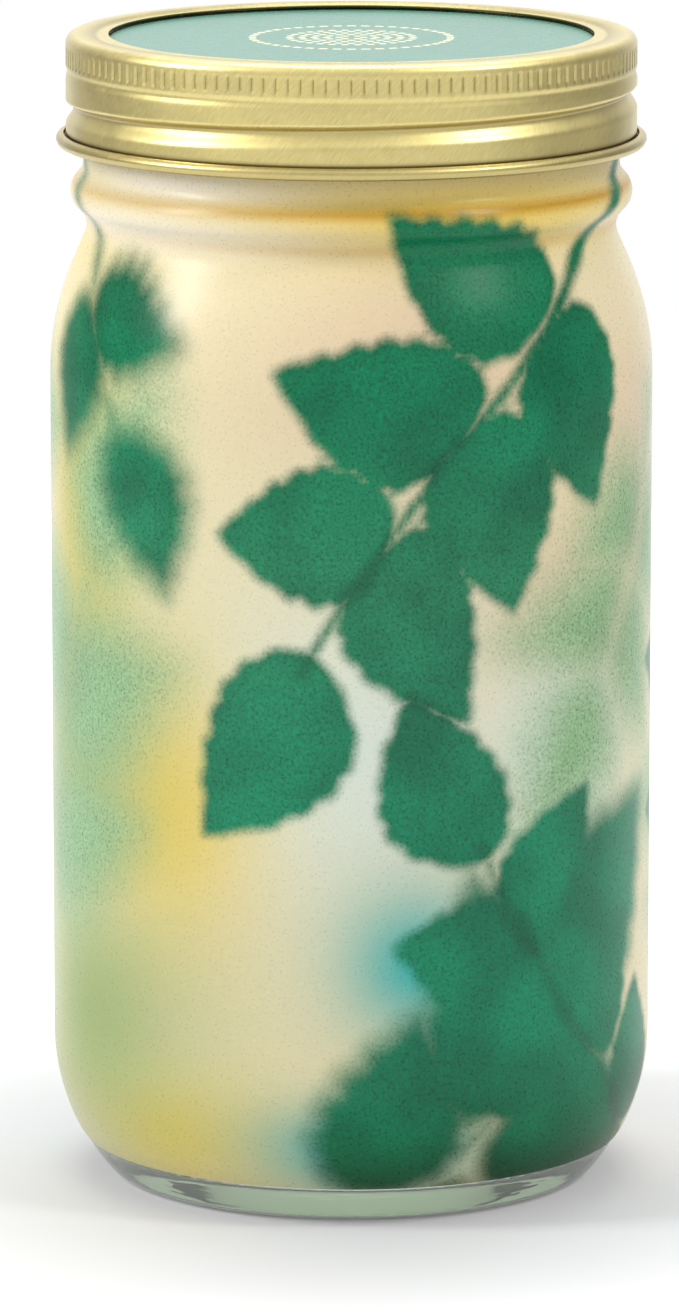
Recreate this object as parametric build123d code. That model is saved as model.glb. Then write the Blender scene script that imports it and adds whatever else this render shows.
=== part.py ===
from build123d import *
import math
import os

# Hydroponic jar planter, as sold: a wide-mouth glass jar in a printed film
# sleeve, closed by a two-piece lid (flat disc under a screw band). A slotted
# net pot hangs in the mouth with its wick, grow medium and the kit's packets.
# Millimetres. +Z is up, the jar's axis is Z and z = 0 is the surface it
# stands on. -Y is the side that faces the viewer.

# Overall size
total_height = 178.0        # floor to the top of the screw band
cut_overrun = 2.0           # how far a cutting shape passes the surface it cuts

# Glass jar, outside
jar_body_radius = 46.1
glass_wall = 3.0
heel_height = 22.5          # where the straight body starts to turn in
heel_round = 33.0
foot_round = 4.0            # small round between the heel and the bearing ring
bearing_width = 3.2         # flat ring that the jar stands on
punt_depth = 3.0            # the bottom is pushed up inside that ring
punt_run = 5.0              # radial run of the pushed-up bottom's side
inside_corner = 7.0         # slant between the inner wall and the floor
notch_count = 72            # stipple notches that break up the bearing ring
notch_width = 1.7
notch_depth = 0.45
notch_margin = 0.4          # plain glass left inside and outside the notches

# Glass jar, finish. Drops are measured down from the glass lip
neck_radius = 40.9
mouth_bore_radius = 38.0
lip_bevel = 1.1
neck_length = 18.3          # lip to the top of the transfer bead
bead_drop = 21.9
bead_overhang = 3.1         # corner of the bead's outline past the neck
groove_drop = 25.9
groove_inset = 1.3          # corner of the groove's outline inside the neck
shoulder_drop = 40.9
# Rounds at shoulder, groove, bead and bead top, as shares of the shorter side
finish_round_shares = [0.53, 0.469, 0.594, 0.117]
# Rounds at throat and inner shoulder, the same way
inside_round_shares = [0.13, 0.62]

# Screw thread: one turn on the glass, one rolled turn in the band
thread_lead = 5.08          # five turns to the inch
thread_height = 1.9
thread_root_width = 3.0
thread_crest_width = 0.9
thread_embed = 0.3          # how far the ridge is rooted in the neck
thread_turn = 330.0         # degrees at full height
thread_fade = 42.0          # degrees of run-out at each end
thread_bend_share = 0.72    # run-out's own radius, as a share of the thread's
thread_play = 0.3           # axial play between the ridge and the rolled rib
thread_radial_gap = 0.59    # ridge crest to the band's wall

# Screw band
band_sheet = 0.4
band_height = 17.1
flange_bore_radius = 37.2
flange_bead_radius = 39.5   # where the flange steps up
flange_bead_run = 0.35
flange_step = 0.15
band_top_round = 1.5
knurl_count = 144
knurl_top_gap = 0.1         # plain metal between the top round and the flutes
knurl_height = 3.1
knurl_width = 1.25
knurl_depth = 0.24
waist_drop = 5.7            # slight pinch under the knurled rim
waist_run = 0.9
waist_depth = 0.22
curl_bore_radius = 0.55     # rolled bottom edge, hollow inside
curl_turn = 280.0           # degrees of roll
curl_flats = 7              # the roll is formed in this many short flats
roll_front_drop = 10.2      # rolled groove's centre below the top, at the front
roll_turn = 315.0           # degrees at full depth
roll_fade = 20.0            # degrees of run-out at each end
roll_bend_share = 1.6       # run-out's own radius, as a share of the groove's
roll_depth = 1.2
roll_floor = 0.5
roll_steep_run = 0.55       # axial run of the groove's upper flank
roll_soft_run = 1.5         # and of its lower flank

# Lid disc and its sealing ring
disc_sheet = 0.3
disc_panel_radius = 37.5
disc_channel_run = 0.3
disc_channel_rise = 0.3     # rim channel stands above the centre panel
disc_gap = 0.55             # disc's edge to the band's wall
disc_bevel = 0.5
disc_skirt = 1.75
gasket_thickness = 0.8
gasket_width = 3.8
gasket_gap = 0.5            # to the disc's skirt

# Net pot
pot_rim_thickness = 0.8
pot_rim_radius = 41.4
pot_depth = 60.0            # rim's underside to the pot's floor
pot_fit_gap = 0.3           # collar to the jar's bore
pot_collar_height = 8.0
pot_foot_radius = 27.5
pot_wall = 1.2
pot_floor = 1.5
pot_slot_count = 20
pot_slot_width = 3.4
pot_slot_tiers = 2
pot_slot_margin = 5.0       # solid wall above, below and between the tiers
floor_slot_count = 12
floor_slot_width = 3.0
floor_slot_inner = 12.5
floor_slot_outer = 23.0

# Wick: a felt strip through the pot's floor
wick_width = 15.0
wick_thickness = 3.0
wick_gap = 0.3
wick_floor_gap = 4.0        # its tail ends this far above the jar's floor
wick_root = 18.0            # length that stands in the grow medium

# Contents, stacked in the pot. Sizes are width, depth and thickness
soft_gap = 0.3              # left between soft pieces
medium_height = 23.0
medium_crown = 1.0
carbon_size = (40.0, 44.0, 9.0)
food_size = (42.0, 46.0, 7.0)
pouch_seam = 3.0            # flat sealed border around a pouch
pouch_seam_thickness = 0.8
pouch_lean = 50.0           # degrees that a filled pouch's sides lean in
seed_size = (42.0, 52.0, 1.6)
seed_flap_depth = 13.0
seed_flap_thickness = 0.5
booklet_size = (44.0, 50.0, 2.6)
booklet_leaf = 0.5
booklet_leaf_count = 3

# Printed film sleeve, shrunk on the glass
film_thickness = 0.2
film_gap = 0.1
film_bottom = 6.2
film_top_drop = 14.35       # below the glass lip, hidden by the screw band

# Worked out from the sizes above
band_bottom = total_height - band_height
flange_inner_top = total_height - flange_step
disc_rim_top = flange_inner_top - band_sheet
gasket_top = disc_rim_top - disc_sheet
pot_rim_top = gasket_top - gasket_thickness
lip_height = pot_rim_top - pot_rim_thickness
thread_radius = neck_radius + thread_height
band_inner_radius = thread_radius + thread_radial_gap
band_radius = band_inner_radius + band_sheet
curl_outer_radius = curl_bore_radius + band_sheet
disc_radius = band_inner_radius - disc_gap
inner_floor = punt_depth + glass_wall
inner_radius = jar_body_radius - glass_wall
pot_floor_bottom = lip_height - pot_depth
pot_floor_top = pot_floor_bottom + pot_floor
roll_front_height = total_height - roll_front_drop
roll_steep_slope = roll_steep_run / roll_depth
roll_soft_slope = roll_soft_run / roll_depth
front_angle = -90.0         # degrees, the side that faces the viewer


def corner_radii(points, leg_shares):
    """Radius at each inner corner, its tangent a share of the shorter side."""
    radii = []
    for before, corner, after, share in zip(points, points[1:], points[2:], leg_shares):
        back = Vector(*before) - Vector(*corner)
        ahead = Vector(*after) - Vector(*corner)
        half_turn = math.radians(180.0 - back.get_angle(ahead)) / 2
        radii.append(share * min(back.length, ahead.length) / math.tan(half_turn))
    return radii


def turned(outline):
    """Solid of revolution about Z from a closed outline of (radius, height)."""
    return revolve(Plane.XZ * make_face(outline), Axis.Z)


def polar_copies(shape, count, first_angle=0.0):
    """Copies of a shape, evenly spaced about Z."""
    step = 360.0 / count
    return [Rot(0, 0, first_angle + index * step) * shape for index in range(count)]


def at_angle(radius, angle, height=0.0):
    """Point at a radius and an angle in degrees about Z."""
    turn = math.radians(angle)
    return Vector(radius * math.cos(turn), radius * math.sin(turn), height)


def screw_path(radius, start_angle, turn, start_height, bend_share, fade):
    """Helix with a run-out at each end that leaves its cylinder on its own radius."""
    bend_radius = radius * bend_share
    bend_lead = thread_lead * bend_share
    shift = radius - bend_radius
    rise = thread_lead * turn / 360.0
    fade_rise = bend_lead * fade / 360.0
    end_angle = start_angle + turn
    run_in = Rot(0, 0, start_angle - fade) * Helix(bend_lead, fade_rise, bend_radius)
    run_out = Rot(0, 0, end_angle) * Helix(bend_lead, fade_rise, bend_radius)
    main = Rot(0, 0, start_angle) * Helix(thread_lead, rise, radius)
    run_in = Pos(at_angle(shift, start_angle, start_height - fade_rise)) * run_in
    run_out = Pos(at_angle(shift, end_angle, start_height + rise)) * run_out
    main = Pos(0, 0, start_height) * main
    return Wire(run_in.edges() + main.edges() + run_out.edges())


def screw_sweep(section, path, first_angle):
    """Sweep of a section of (outward, upward) points along a screw path."""
    plane = Plane(path @ 0, x_dir=at_angle(1, first_angle), z_dir=(path % 0) * -1)
    face = plane * make_face(Polyline(*section, close=True))
    return sweep(face, path=path, is_frenet=True)


def finish_points():
    """Corners of the jar's outside above the heel, from the body to the lip."""
    return [
        (jar_body_radius, heel_height),
        (jar_body_radius, lip_height - shoulder_drop),
        (neck_radius - groove_inset, lip_height - groove_drop),
        (neck_radius + bead_overhang, lip_height - bead_drop),
        (neck_radius, lip_height - neck_length),
        (neck_radius, lip_height),
    ]


def heel_points():
    """Where the heel's large arc meets the foot's small one, and where that lands."""
    sine = (heel_height - foot_round) / (heel_round - foot_round)
    cosine = math.sqrt(1 - sine**2)
    joint = (jar_body_radius - heel_round * (1 - cosine), foot_round * (1 - sine))
    landing = (joint[0] - foot_round * cosine, 0)
    return joint, landing, (-sine, -cosine)


def inside_points():
    """Corners of the jar's inside, from the lip to the floor."""
    body, shoulder, groove = finish_points()[:3]
    run = shoulder[0] - groove[0]
    climb = groove[1] - shoulder[1]
    slant = math.hypot(run, climb)
    wall_run = glass_wall * slant / climb
    slope = run / climb
    throat = shoulder[1] + (shoulder[0] - mouth_bore_radius - wall_run) / slope
    inner_shoulder = shoulder[1] + (shoulder[0] - inner_radius - wall_run) / slope
    return [
        (mouth_bore_radius, throat),
        (inner_radius, inner_shoulder),
        (inner_radius, inner_floor + inside_corner),
        (inner_radius - inside_corner, inner_floor),
        (0, inner_floor),
    ]


def heel_arcs():
    """The heel and foot, from the straight body down to the bearing ring."""
    joint, landing, heading = heel_points()
    heel = TangentArc((jar_body_radius, heel_height), joint, tangent=(0, -1))
    foot = TangentArc(joint, landing, tangent=heading)
    return heel.edges() + foot.edges(), landing


def make_glass_jar():
    """Blown glass jar with a wide screw finish, bead, shoulder and pushed-up bottom."""
    outside = finish_points()
    inside = inside_points()
    lip = [
        (neck_radius, lip_height - lip_bevel),
        (neck_radius - lip_bevel, lip_height),
        (mouth_bore_radius + lip_bevel, lip_height),
        (mouth_bore_radius, lip_height - lip_bevel),
    ]
    outside_radii = corner_radii(outside, finish_round_shares)
    inside_radii = corner_radii([lip[-1]] + inside, inside_round_shares)
    outer_wall = FilletPolyline(*outside[:-1], lip[0], radius=outside_radii)
    inner_wall = FilletPolyline(lip[-1], *inside[:3], radius=inside_radii)
    heel, landing = heel_arcs()
    ring_inner = (landing[0] - bearing_width, 0)
    punt_edge = (ring_inner[0] - punt_run, punt_depth)
    base = Polyline(inside[2], inside[3], inside[4], (0, punt_depth), punt_edge, ring_inner, landing)
    jar = turned(outer_wall.edges() + Polyline(*lip).edges() + inner_wall.edges() + base.edges() + heel)
    return jar + make_thread_ridge() - make_bearing_notches(landing[0])


def make_bearing_notches(ring_radius):
    """Shallow radial notches across the bearing ring."""
    half_below = notch_width / 2 * (1 + cut_overrun / notch_depth)
    section = Polyline(
        (-half_below, -cut_overrun), (half_below, -cut_overrun), (0, notch_depth), close=True
    )
    inner = ring_radius - bearing_width + notch_margin
    length = bearing_width - 2 * notch_margin
    notch = extrude(Plane.YZ.offset(inner) * make_face(section), amount=length)
    return polar_copies(notch, notch_count)


def groove_floor_edges():
    """Upper and lower edge of the rolled groove's floor, from its centre."""
    top = (roll_floor + roll_soft_run - roll_steep_run) / 2
    return top, top - roll_floor


def rib_crest_edges():
    """Upper and lower edge of the crest that the groove raises on the sheet's inside."""
    top, bottom = groove_floor_edges()
    above = band_sheet * (math.hypot(1, roll_steep_slope) - roll_steep_slope)
    below = band_sheet * (math.hypot(1, roll_soft_slope) - roll_soft_slope)
    return top + above, bottom - below


def make_thread_ridge():
    """Raised screw thread on the neck, just above the band's rolled rib."""
    rib_radius = band_inner_radius - roll_depth
    flank = (thread_root_width - thread_crest_width) / 2 / thread_height
    ridge_half = thread_crest_width / 2 + flank * (thread_radius - rib_radius)
    front = roll_front_height + rib_crest_edges()[0] + ridge_half + thread_play
    start_angle = front_angle - thread_turn / 2
    start = front - thread_lead * thread_turn / 720.0
    path = screw_path(thread_radius, start_angle, thread_turn, start, thread_bend_share, thread_fade)
    root = -thread_height - thread_embed
    root_half = thread_crest_width / 2 + flank * (thread_height + thread_embed)
    crest_half = thread_crest_width / 2
    section = [(0, -crest_half), (0, crest_half), (root, root_half), (root, -root_half)]
    return screw_sweep(section, path, start_angle - thread_fade)


def make_roll_tools():
    """The rolled groove that is cut outside, and the rib that stands inside."""
    floor_top, floor_bottom = groove_floor_edges()
    rib_top, rib_bottom = rib_crest_edges()
    floor_radius = band_radius - roll_depth
    start_angle = front_angle - roll_turn / 2
    start = roll_front_height - thread_lead * roll_turn / 720.0
    path = screw_path(floor_radius, start_angle, roll_turn, start, roll_bend_share, roll_fade)
    reach = roll_depth + cut_overrun
    groove_section = [
        (0, floor_bottom),
        (0, floor_top),
        (reach, floor_top + reach * roll_steep_slope),
        (reach, floor_bottom - reach * roll_soft_slope),
    ]
    reach = roll_depth
    rib_section = [
        (-band_sheet, rib_bottom),
        (-band_sheet, rib_top),
        (reach, rib_top + (reach + band_sheet) * roll_steep_slope),
        (reach, rib_bottom - (reach + band_sheet) * roll_soft_slope),
    ]
    first_angle = start_angle - roll_fade
    return screw_sweep(groove_section, path, first_angle), screw_sweep(rib_section, path, first_angle)


def band_side(depth):
    """One side of the band's sheet, from the flange's bore down to the curl."""
    wall = band_radius - depth
    waist_height = total_height - waist_drop
    step = flange_bead_run / 2
    points = [
        (flange_bore_radius, flange_inner_top - depth),
        (flange_bead_radius - step, flange_inner_top - depth),
        (flange_bead_radius + step, total_height - depth),
        (wall, total_height - depth),
        (wall, waist_height + waist_run),
        (wall - waist_depth, waist_height),
        (wall, waist_height - waist_run),
        (wall, band_bottom + band_sheet + curl_bore_radius),
    ]
    return FilletPolyline(*points, radius=[0, 0, band_top_round - depth, 0, 0, 0])


def curl_points(radius):
    """Corners of the rolled edge's flats at a radius, from the wall round and up."""
    centre = Vector(band_radius + curl_bore_radius, band_bottom + curl_outer_radius)
    points = []
    for index in range(curl_flats + 1):
        angle = math.radians(180.0 + curl_turn * index / curl_flats)
        points.append(centre + Vector(math.cos(angle), math.sin(angle)) * radius)
    return points


def make_screw_band():
    """Rolled tinplate band: flange, knurled rim, rolled thread and curled edge."""
    outer = band_side(0)
    inner = band_side(band_sheet)
    curl = Polyline(*curl_points(curl_bore_radius), *reversed(curl_points(curl_outer_radius)))
    bore_edge = Line(outer @ 0, inner @ 0)
    shell = turned(outer.edges() + curl.edges() + inner.edges() + bore_edge.edges())
    groove, rib = make_roll_tools()
    rib &= upright_cylinder(band_inner_radius + band_sheet / 2)
    return shell + rib - groove - make_knurl_flutes()


def upright_cylinder(radius, height=total_height):
    """Cylinder about Z that stands on the floor."""
    return Cylinder(radius, height, align=(Align.CENTER, Align.CENTER, Align.MIN))


def make_knurl_flutes():
    """Narrow upright flutes between the lands of the knurled rim."""
    half = knurl_width / 2 * (1 + cut_overrun / knurl_depth)
    section = Polyline(
        (band_radius - knurl_depth, 0),
        (band_radius + cut_overrun, half),
        (band_radius + cut_overrun, -half),
        close=True,
    )
    plane = Plane.XY.offset(total_height - band_top_round - knurl_top_gap)
    flute = extrude(plane * make_face(section), amount=-knurl_height)
    return polar_copies(flute, knurl_count, front_angle)


def make_film_sleeve():
    """Thin printed film that follows the glass from under the band to the heel."""
    outside = finish_points()
    radii = corner_radii(outside, finish_round_shares)
    wall = FilletPolyline(*outside, radius=radii)
    heel, landing = heel_arcs()
    closing = Polyline(outside[-1], (0, lip_height), (0, 0), landing)
    glass = make_face(wall.edges() + heel + closing.edges())
    film = offset(glass, amount=film_gap + film_thickness) - offset(glass, amount=film_gap)
    film_height = lip_height - film_top_drop - film_bottom
    window = Pos(mouth_bore_radius / 2, film_bottom) * Rectangle(
        jar_body_radius, film_height, align=(Align.MIN, Align.MIN)
    )
    return revolve(Plane.XZ * (film & window), Axis.Z)


def disc_side(depth):
    """One side of the lid disc's sheet, from the centre out and down the skirt."""
    panel_top = disc_rim_top - disc_channel_rise
    slope = math.atan2(disc_channel_rise, disc_channel_run)
    shift = depth * math.tan(slope / 2)
    bevel = disc_bevel - depth * (2 - math.sqrt(2))
    return [
        (0, panel_top - depth),
        (disc_panel_radius + shift, panel_top - depth),
        (disc_panel_radius + disc_channel_run + shift, disc_rim_top - depth),
        (disc_radius - depth - bevel, disc_rim_top - depth),
        (disc_radius - depth, disc_rim_top - depth - bevel),
        (disc_radius - depth, disc_rim_top - disc_skirt),
    ]


def make_lid_disc():
    """Pressed flat disc with a raised rim channel and a short skirt."""
    outline = disc_side(0) + list(reversed(disc_side(disc_sheet)))
    return turned(Polyline(*outline, close=True))


def make_lid_gasket():
    """Flat sealing ring in the disc's rim channel."""
    outer = disc_radius - disc_sheet - gasket_gap
    inner = outer - gasket_width
    ring = upright_cylinder(outer, gasket_thickness) - upright_cylinder(inner, gasket_thickness)
    return Pos(0, 0, pot_rim_top) * ring


def pot_inner_radius(height):
    """Inside radius of the net pot's tapered wall at a height."""
    climb = (height - pot_floor_top) / (lip_height - pot_collar_height - pot_floor_top)
    foot = pot_foot_radius - pot_wall
    collar = mouth_bore_radius - pot_fit_gap - pot_wall
    return foot + (collar - foot) * climb


def make_net_pot():
    """Moulded net pot: rim on the glass lip, collar in the bore, slotted cup."""
    collar = mouth_bore_radius - pot_fit_gap
    collar_bottom = lip_height - pot_collar_height
    pot = turned(
        Polyline(
            (0, pot_floor_bottom),
            (pot_foot_radius, pot_floor_bottom),
            (collar, collar_bottom),
            (collar, lip_height),
            (pot_rim_radius, lip_height),
            (pot_rim_radius, pot_rim_top),
            (collar - pot_wall, pot_rim_top),
            (collar - pot_wall, collar_bottom),
            (pot_foot_radius - pot_wall, pot_floor_top),
            (0, pot_floor_top),
            close=True,
        )
    )
    low = pot_floor_top + pot_slot_margin
    pitch = (collar_bottom - low) / pot_slot_tiers
    size = (collar, pot_slot_width, pitch - pot_slot_margin)
    align = (Align.MIN, Align.CENTER, Align.MIN)
    for tier in range(pot_slot_tiers):
        slot = Pos(pot_foot_radius / 2, 0, low + tier * pitch) * Box(*size, align=align)
        pot -= polar_copies(slot, pot_slot_count)
    floor_size = (floor_slot_outer - floor_slot_inner, floor_slot_width, pot_floor + 2 * cut_overrun)
    floor_slot = Pos(floor_slot_inner, 0, pot_floor_bottom - cut_overrun) * Box(*floor_size, align=align)
    pot -= polar_copies(floor_slot, floor_slot_count)
    return pot - make_wick(wick_gap)


def make_wick(margin=0.0):
    """Felt strip from the grow medium down to the water, or its pocket with a margin."""
    bottom = inner_floor + wick_floor_gap - margin
    height = pot_floor_top + wick_root + margin - bottom
    strip = Box(
        wick_thickness + 2 * margin, wick_width + 2 * margin, height,
        align=(Align.CENTER, Align.CENTER, Align.MIN),
    )
    return Pos(0, 0, bottom) * strip


def make_grow_medium():
    """Plug of coir that fills the pot's lower part around the wick."""
    low = pot_floor_top + soft_gap
    high = low + medium_height
    rim = high - medium_crown
    plug = turned(
        Polyline(
            (0, low),
            (pot_inner_radius(low) - soft_gap, low),
            (pot_inner_radius(rim) - soft_gap, rim),
            (0, high),
            close=True,
        )
    )
    return plug - make_wick(soft_gap)


def make_pouch(size):
    """Pillow pouch: a flat sealed border and a filled middle that tapers both ways."""
    width, depth, thickness = size
    bulge = (thickness - pouch_seam_thickness) / 2
    border = Box(width, depth, pouch_seam_thickness)
    middle = Rectangle(width - 2 * pouch_seam, depth - 2 * pouch_seam)
    upper = extrude(Pos(0, 0, pouch_seam_thickness / 2) * middle, amount=bulge, taper=pouch_lean)
    lower = mirror(upper, about=Plane.XY)
    return Pos(0, 0, thickness / 2) * (border + upper + lower)


def make_seed_packet():
    """Paper envelope with its flap folded down on top."""
    width, depth, thickness = seed_size
    body = Box(width, depth, thickness - seed_flap_thickness, align=(Align.CENTER, Align.CENTER, Align.MIN))
    edge = depth / 2
    flap = Polyline(
        (-width / 2, edge),
        (width / 2, edge),
        (width / 2 - seed_flap_depth / 2, edge - seed_flap_depth),
        (-width / 2 + seed_flap_depth / 2, edge - seed_flap_depth),
        close=True,
    )
    plane = Plane.XY.offset(thickness - seed_flap_thickness)
    return body + extrude(plane * make_face(flap), amount=seed_flap_thickness)


def make_guide_booklet():
    """Growing guide: one sheet folded to and fro into flat leaves."""
    width, depth, thickness = booklet_size
    align = (Align.CENTER, Align.CENTER, Align.MIN)
    pitch = (thickness - booklet_leaf) / (booklet_leaf_count - 1)
    guide = Box(width, depth, booklet_leaf, align=align)
    for leaf in range(1, booklet_leaf_count):
        side = (width - booklet_leaf) / 2 * (-1) ** leaf
        fold = Box(booklet_leaf, depth, pitch, align=align)
        guide += Pos(0, 0, leaf * pitch) * Box(width, depth, booklet_leaf, align=align)
        guide += Pos(side, 0, (leaf - 1) * pitch + booklet_leaf / 2) * fold
    return guide


def make_contents():
    """Everything stacked on the grow medium, bottom to top."""
    stack = {
        "carbon_pouch": (make_pouch(carbon_size), carbon_size),
        "plant_food_pouch": (make_pouch(food_size), food_size),
        "seed_packet": (make_seed_packet(), seed_size),
        "guide_booklet": (make_guide_booklet(), booklet_size),
    }
    height = pot_floor_top + soft_gap + medium_height
    placed = {}
    for name, (shape, size) in stack.items():
        height += soft_gap
        placed[name] = Pos(0, 0, height) * shape
        height += size[2]
    return placed


parts = {
    "glass_jar": make_glass_jar(),
    "film_sleeve": make_film_sleeve(),
    "screw_band": make_screw_band(),
    "lid_disc": make_lid_disc(),
    "lid_gasket": make_lid_gasket(),
    "net_pot": make_net_pot(),
    "felt_wick": make_wick(),
    "grow_medium": make_grow_medium(),
    **make_contents(),
}

os.makedirs("parts", exist_ok=True)
for node, shape in parts.items():
    export_step(shape, f"parts/{node}.step")
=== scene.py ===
"""Looks of a hydroponic jar planter: printed film on glass, a brass screw lid and the supplies inside."""

import logging
import math
from dataclasses import dataclass, field
from enum import Enum

import bpy
import numpy as np
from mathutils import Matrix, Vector, noise


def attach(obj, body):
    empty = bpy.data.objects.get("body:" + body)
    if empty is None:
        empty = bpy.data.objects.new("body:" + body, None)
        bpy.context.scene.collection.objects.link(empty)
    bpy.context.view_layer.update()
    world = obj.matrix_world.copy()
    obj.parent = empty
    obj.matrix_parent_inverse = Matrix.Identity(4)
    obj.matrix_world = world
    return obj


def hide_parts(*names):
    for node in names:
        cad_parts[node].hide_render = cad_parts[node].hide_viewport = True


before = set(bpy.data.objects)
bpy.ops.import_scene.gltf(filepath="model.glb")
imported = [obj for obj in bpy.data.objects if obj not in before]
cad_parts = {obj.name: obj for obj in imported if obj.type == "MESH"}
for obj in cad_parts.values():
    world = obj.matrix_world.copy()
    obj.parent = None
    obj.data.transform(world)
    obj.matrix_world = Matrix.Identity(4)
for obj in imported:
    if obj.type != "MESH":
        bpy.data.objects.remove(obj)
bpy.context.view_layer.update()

log = logging.getLogger("jar_planter")

MM = 0.001
Point = tuple[float, float]
# Distance in millimetres within which a point counts as on a face.
NEAR = 0.02
# Turns at which a helix of less than two laps may pass the same side.
LAPS = (-360.0, 0.0, 360.0)


class Layer(Enum):
    """How far a printed leaf seems to stand behind the film."""

    FAR = "leaf_far"
    MIDDLE = "leaf_middle"
    NEAR = "leaf_near"


class Wash(Enum):
    """Soft colour washes of the print's background."""

    PEACH = "wash_peach"
    MINT = "wash_mint"
    SUN = "wash_sun"
    OLIVE = "wash_olive"
    TEAL = "wash_teal"
    CREAM = "wash_cream"
    # Painted shade: amber lines round the bead, which are no part of the print.
    BEAD_SHADE = "wash_bead_shade"


# Colours and nodes


def linear(code: str, alpha: float = 1.0) -> tuple[float, float, float, float]:
    """Turns an sRGB hex colour into the linear values that a shader takes.

    Args:
        code: Six hex digits.
        alpha: Fourth value of the colour.

    Returns:
        Linear red, green and blue, and alpha.
    """
    parts = [int(code[i : i + 2], 16) / 255 for i in (0, 2, 4)]
    turned = [p / 12.92 if p <= 0.04045 else ((p + 0.055) / 1.055) ** 2.4 for p in parts]
    return (turned[0], turned[1], turned[2], alpha)


def feed(tree: bpy.types.NodeTree, node: bpy.types.Node, inputs: dict) -> None:
    """Sets a node's inputs.

    Args:
        tree: Node tree that holds the node.
        node: Node whose inputs are set.
        inputs: Input name or number to a value, or to the socket it is linked from.
    """
    for key, value in inputs.items():
        if isinstance(value, bpy.types.NodeSocket):
            tree.links.new(value, node.inputs[key])
        else:
            node.inputs[key].default_value = value


def add_node(
    tree: bpy.types.NodeTree, kind: str, inputs: dict | None = None, **settings: object
) -> bpy.types.Node:
    """Adds one node with its settings, values and links.

    Args:
        tree: Node tree that the node joins.
        kind: Type of the node, without its leading word.
        inputs: Input name or number to a value, or to the socket it is linked from.
        settings: Attributes of the node itself.

    Returns:
        The new node.
    """
    node = tree.nodes.new("ShaderNode" + kind)
    for name, value in settings.items():
        setattr(node, name, value)
    feed(tree, node, inputs or {})
    return node


def new_material(name: str) -> tuple[bpy.types.Material, bpy.types.NodeTree, bpy.types.Node]:
    """Makes a material that holds one principled shader.

    Args:
        name: Name of the finish.

    Returns:
        The material, its tree and the shader node.
    """
    material = bpy.data.materials.new(name)
    material.use_nodes = True
    tree = material.node_tree
    return material, tree, tree.nodes["Principled BSDF"]


def scale_of(size: float) -> float:
    """Scale that gives a texture a size in millimetres."""
    return 1 / (size * MM)


# Outlines


def corner_rounds(points: list[Point], shares: list[float]) -> list[float]:
    """Works out the radius at each inner corner from a share of its shorter side.

    Args:
        points: Corners of the outline.
        shares: One share for each inner corner.

    Returns:
        One radius for each inner corner.
    """
    radii = []
    for before, corner, after, share in zip(points, points[1:], points[2:], shares):
        back = Vector(before) - Vector(corner)
        ahead = Vector(after) - Vector(corner)
        half_turn = (math.pi - back.angle(ahead)) / 2
        radii.append(share * min(back.length, ahead.length) / math.tan(half_turn))
    return radii


def rounded(points: list[Point], radii: list[float], pitch: float) -> list[Point]:
    """Rounds an outline's inner corners and sets points along it.

    Args:
        points: Corners of the outline.
        radii: One radius for each inner corner.
        pitch: Largest distance between points.

    Returns:
        The outline's points from first to last.
    """
    stops: list[Vector] = [Vector(points[0])]
    for before, corner, after, radius in zip(points, points[1:], points[2:], radii):
        at = Vector(corner)
        back = (Vector(before) - at).normalized()
        ahead = (Vector(after) - at).normalized()
        half = back.angle(ahead) / 2
        reach = radius / math.tan(half)
        start, end = at + back * reach, at + ahead * reach
        centre = at + (back + ahead).normalized() * (radius / math.sin(half))
        first = (start - centre).normalized()
        last = (end - centre).normalized()
        sweep = first.angle(last)
        count = max(2, math.ceil(sweep * radius / pitch))
        for step in range(count + 1):
            turn = sweep * step / count
            mixed = first * math.sin(sweep - turn) + last * math.sin(turn)
            stops.append(centre + mixed.normalized() * radius)
    stops.append(Vector(points[-1]))
    return spaced([(p.x, p.y) for p in stops], pitch)


def spaced(points: list[Point], pitch: float) -> list[Point]:
    """Adds points on long sides so that none is longer than the pitch.

    Args:
        points: Points of the outline.
        pitch: Largest distance between points.

    Returns:
        The same outline with more points.
    """
    out = [points[0]]
    for start, end in zip(points, points[1:]):
        length = math.dist(start, end)
        if length < 1e-6:
            continue
        count = max(1, math.ceil(length / pitch - 1e-6))
        for step in range(1, count + 1):
            share = step / count
            out.append((start[0] + (end[0] - start[0]) * share, start[1] + (end[1] - start[1]) * share))
    return out


def beside(points: list[Point], distance: float) -> list[Point]:
    """Moves an outline sideways, to the left of its direction.

    Args:
        points: Points of the outline.
        distance: How far it moves.

    Returns:
        The moved outline.
    """
    line = np.array(points)
    along = np.gradient(line, axis=0)
    along /= np.linalg.norm(along, axis=1)[:, None]
    left = np.column_stack([-along[:, 1], along[:, 0]])
    return [tuple(p) for p in line + left * distance]


def arc(centre: Point, radius: float, start: float, turn: float, count: int) -> list[Point]:
    """Points on an arc.

    Args:
        centre: Centre of the arc.
        radius: Its radius.
        start: First angle in degrees.
        turn: Degrees it turns through, counterclockwise.
        count: Number of sides.

    Returns:
        One point more than the number of sides.
    """
    angles = [math.radians(start + turn * step / count) for step in range(count + 1)]
    return [(centre[0] + radius * math.cos(a), centre[1] + radius * math.sin(a)) for a in angles]


def smoothstep(value: np.ndarray, low: float, high: float) -> np.ndarray:
    """Rises smoothly from 0 at low to 1 at high."""
    share = np.clip((value - low) / (high - low), 0, 1)
    return share * share * (3 - 2 * share)


def bell(distance: np.ndarray, half: float) -> np.ndarray:
    """Falls smoothly from 1 at no distance, through about a third at the half width."""
    return np.exp(-((distance / half) ** 2))


def polar(points: np.ndarray) -> tuple[np.ndarray, np.ndarray, np.ndarray]:
    """Radius, degrees round from the front, and height of each point."""
    across, back, height = points.T
    return np.hypot(across, back), np.degrees(np.arctan2(across, -back)), height


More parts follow.
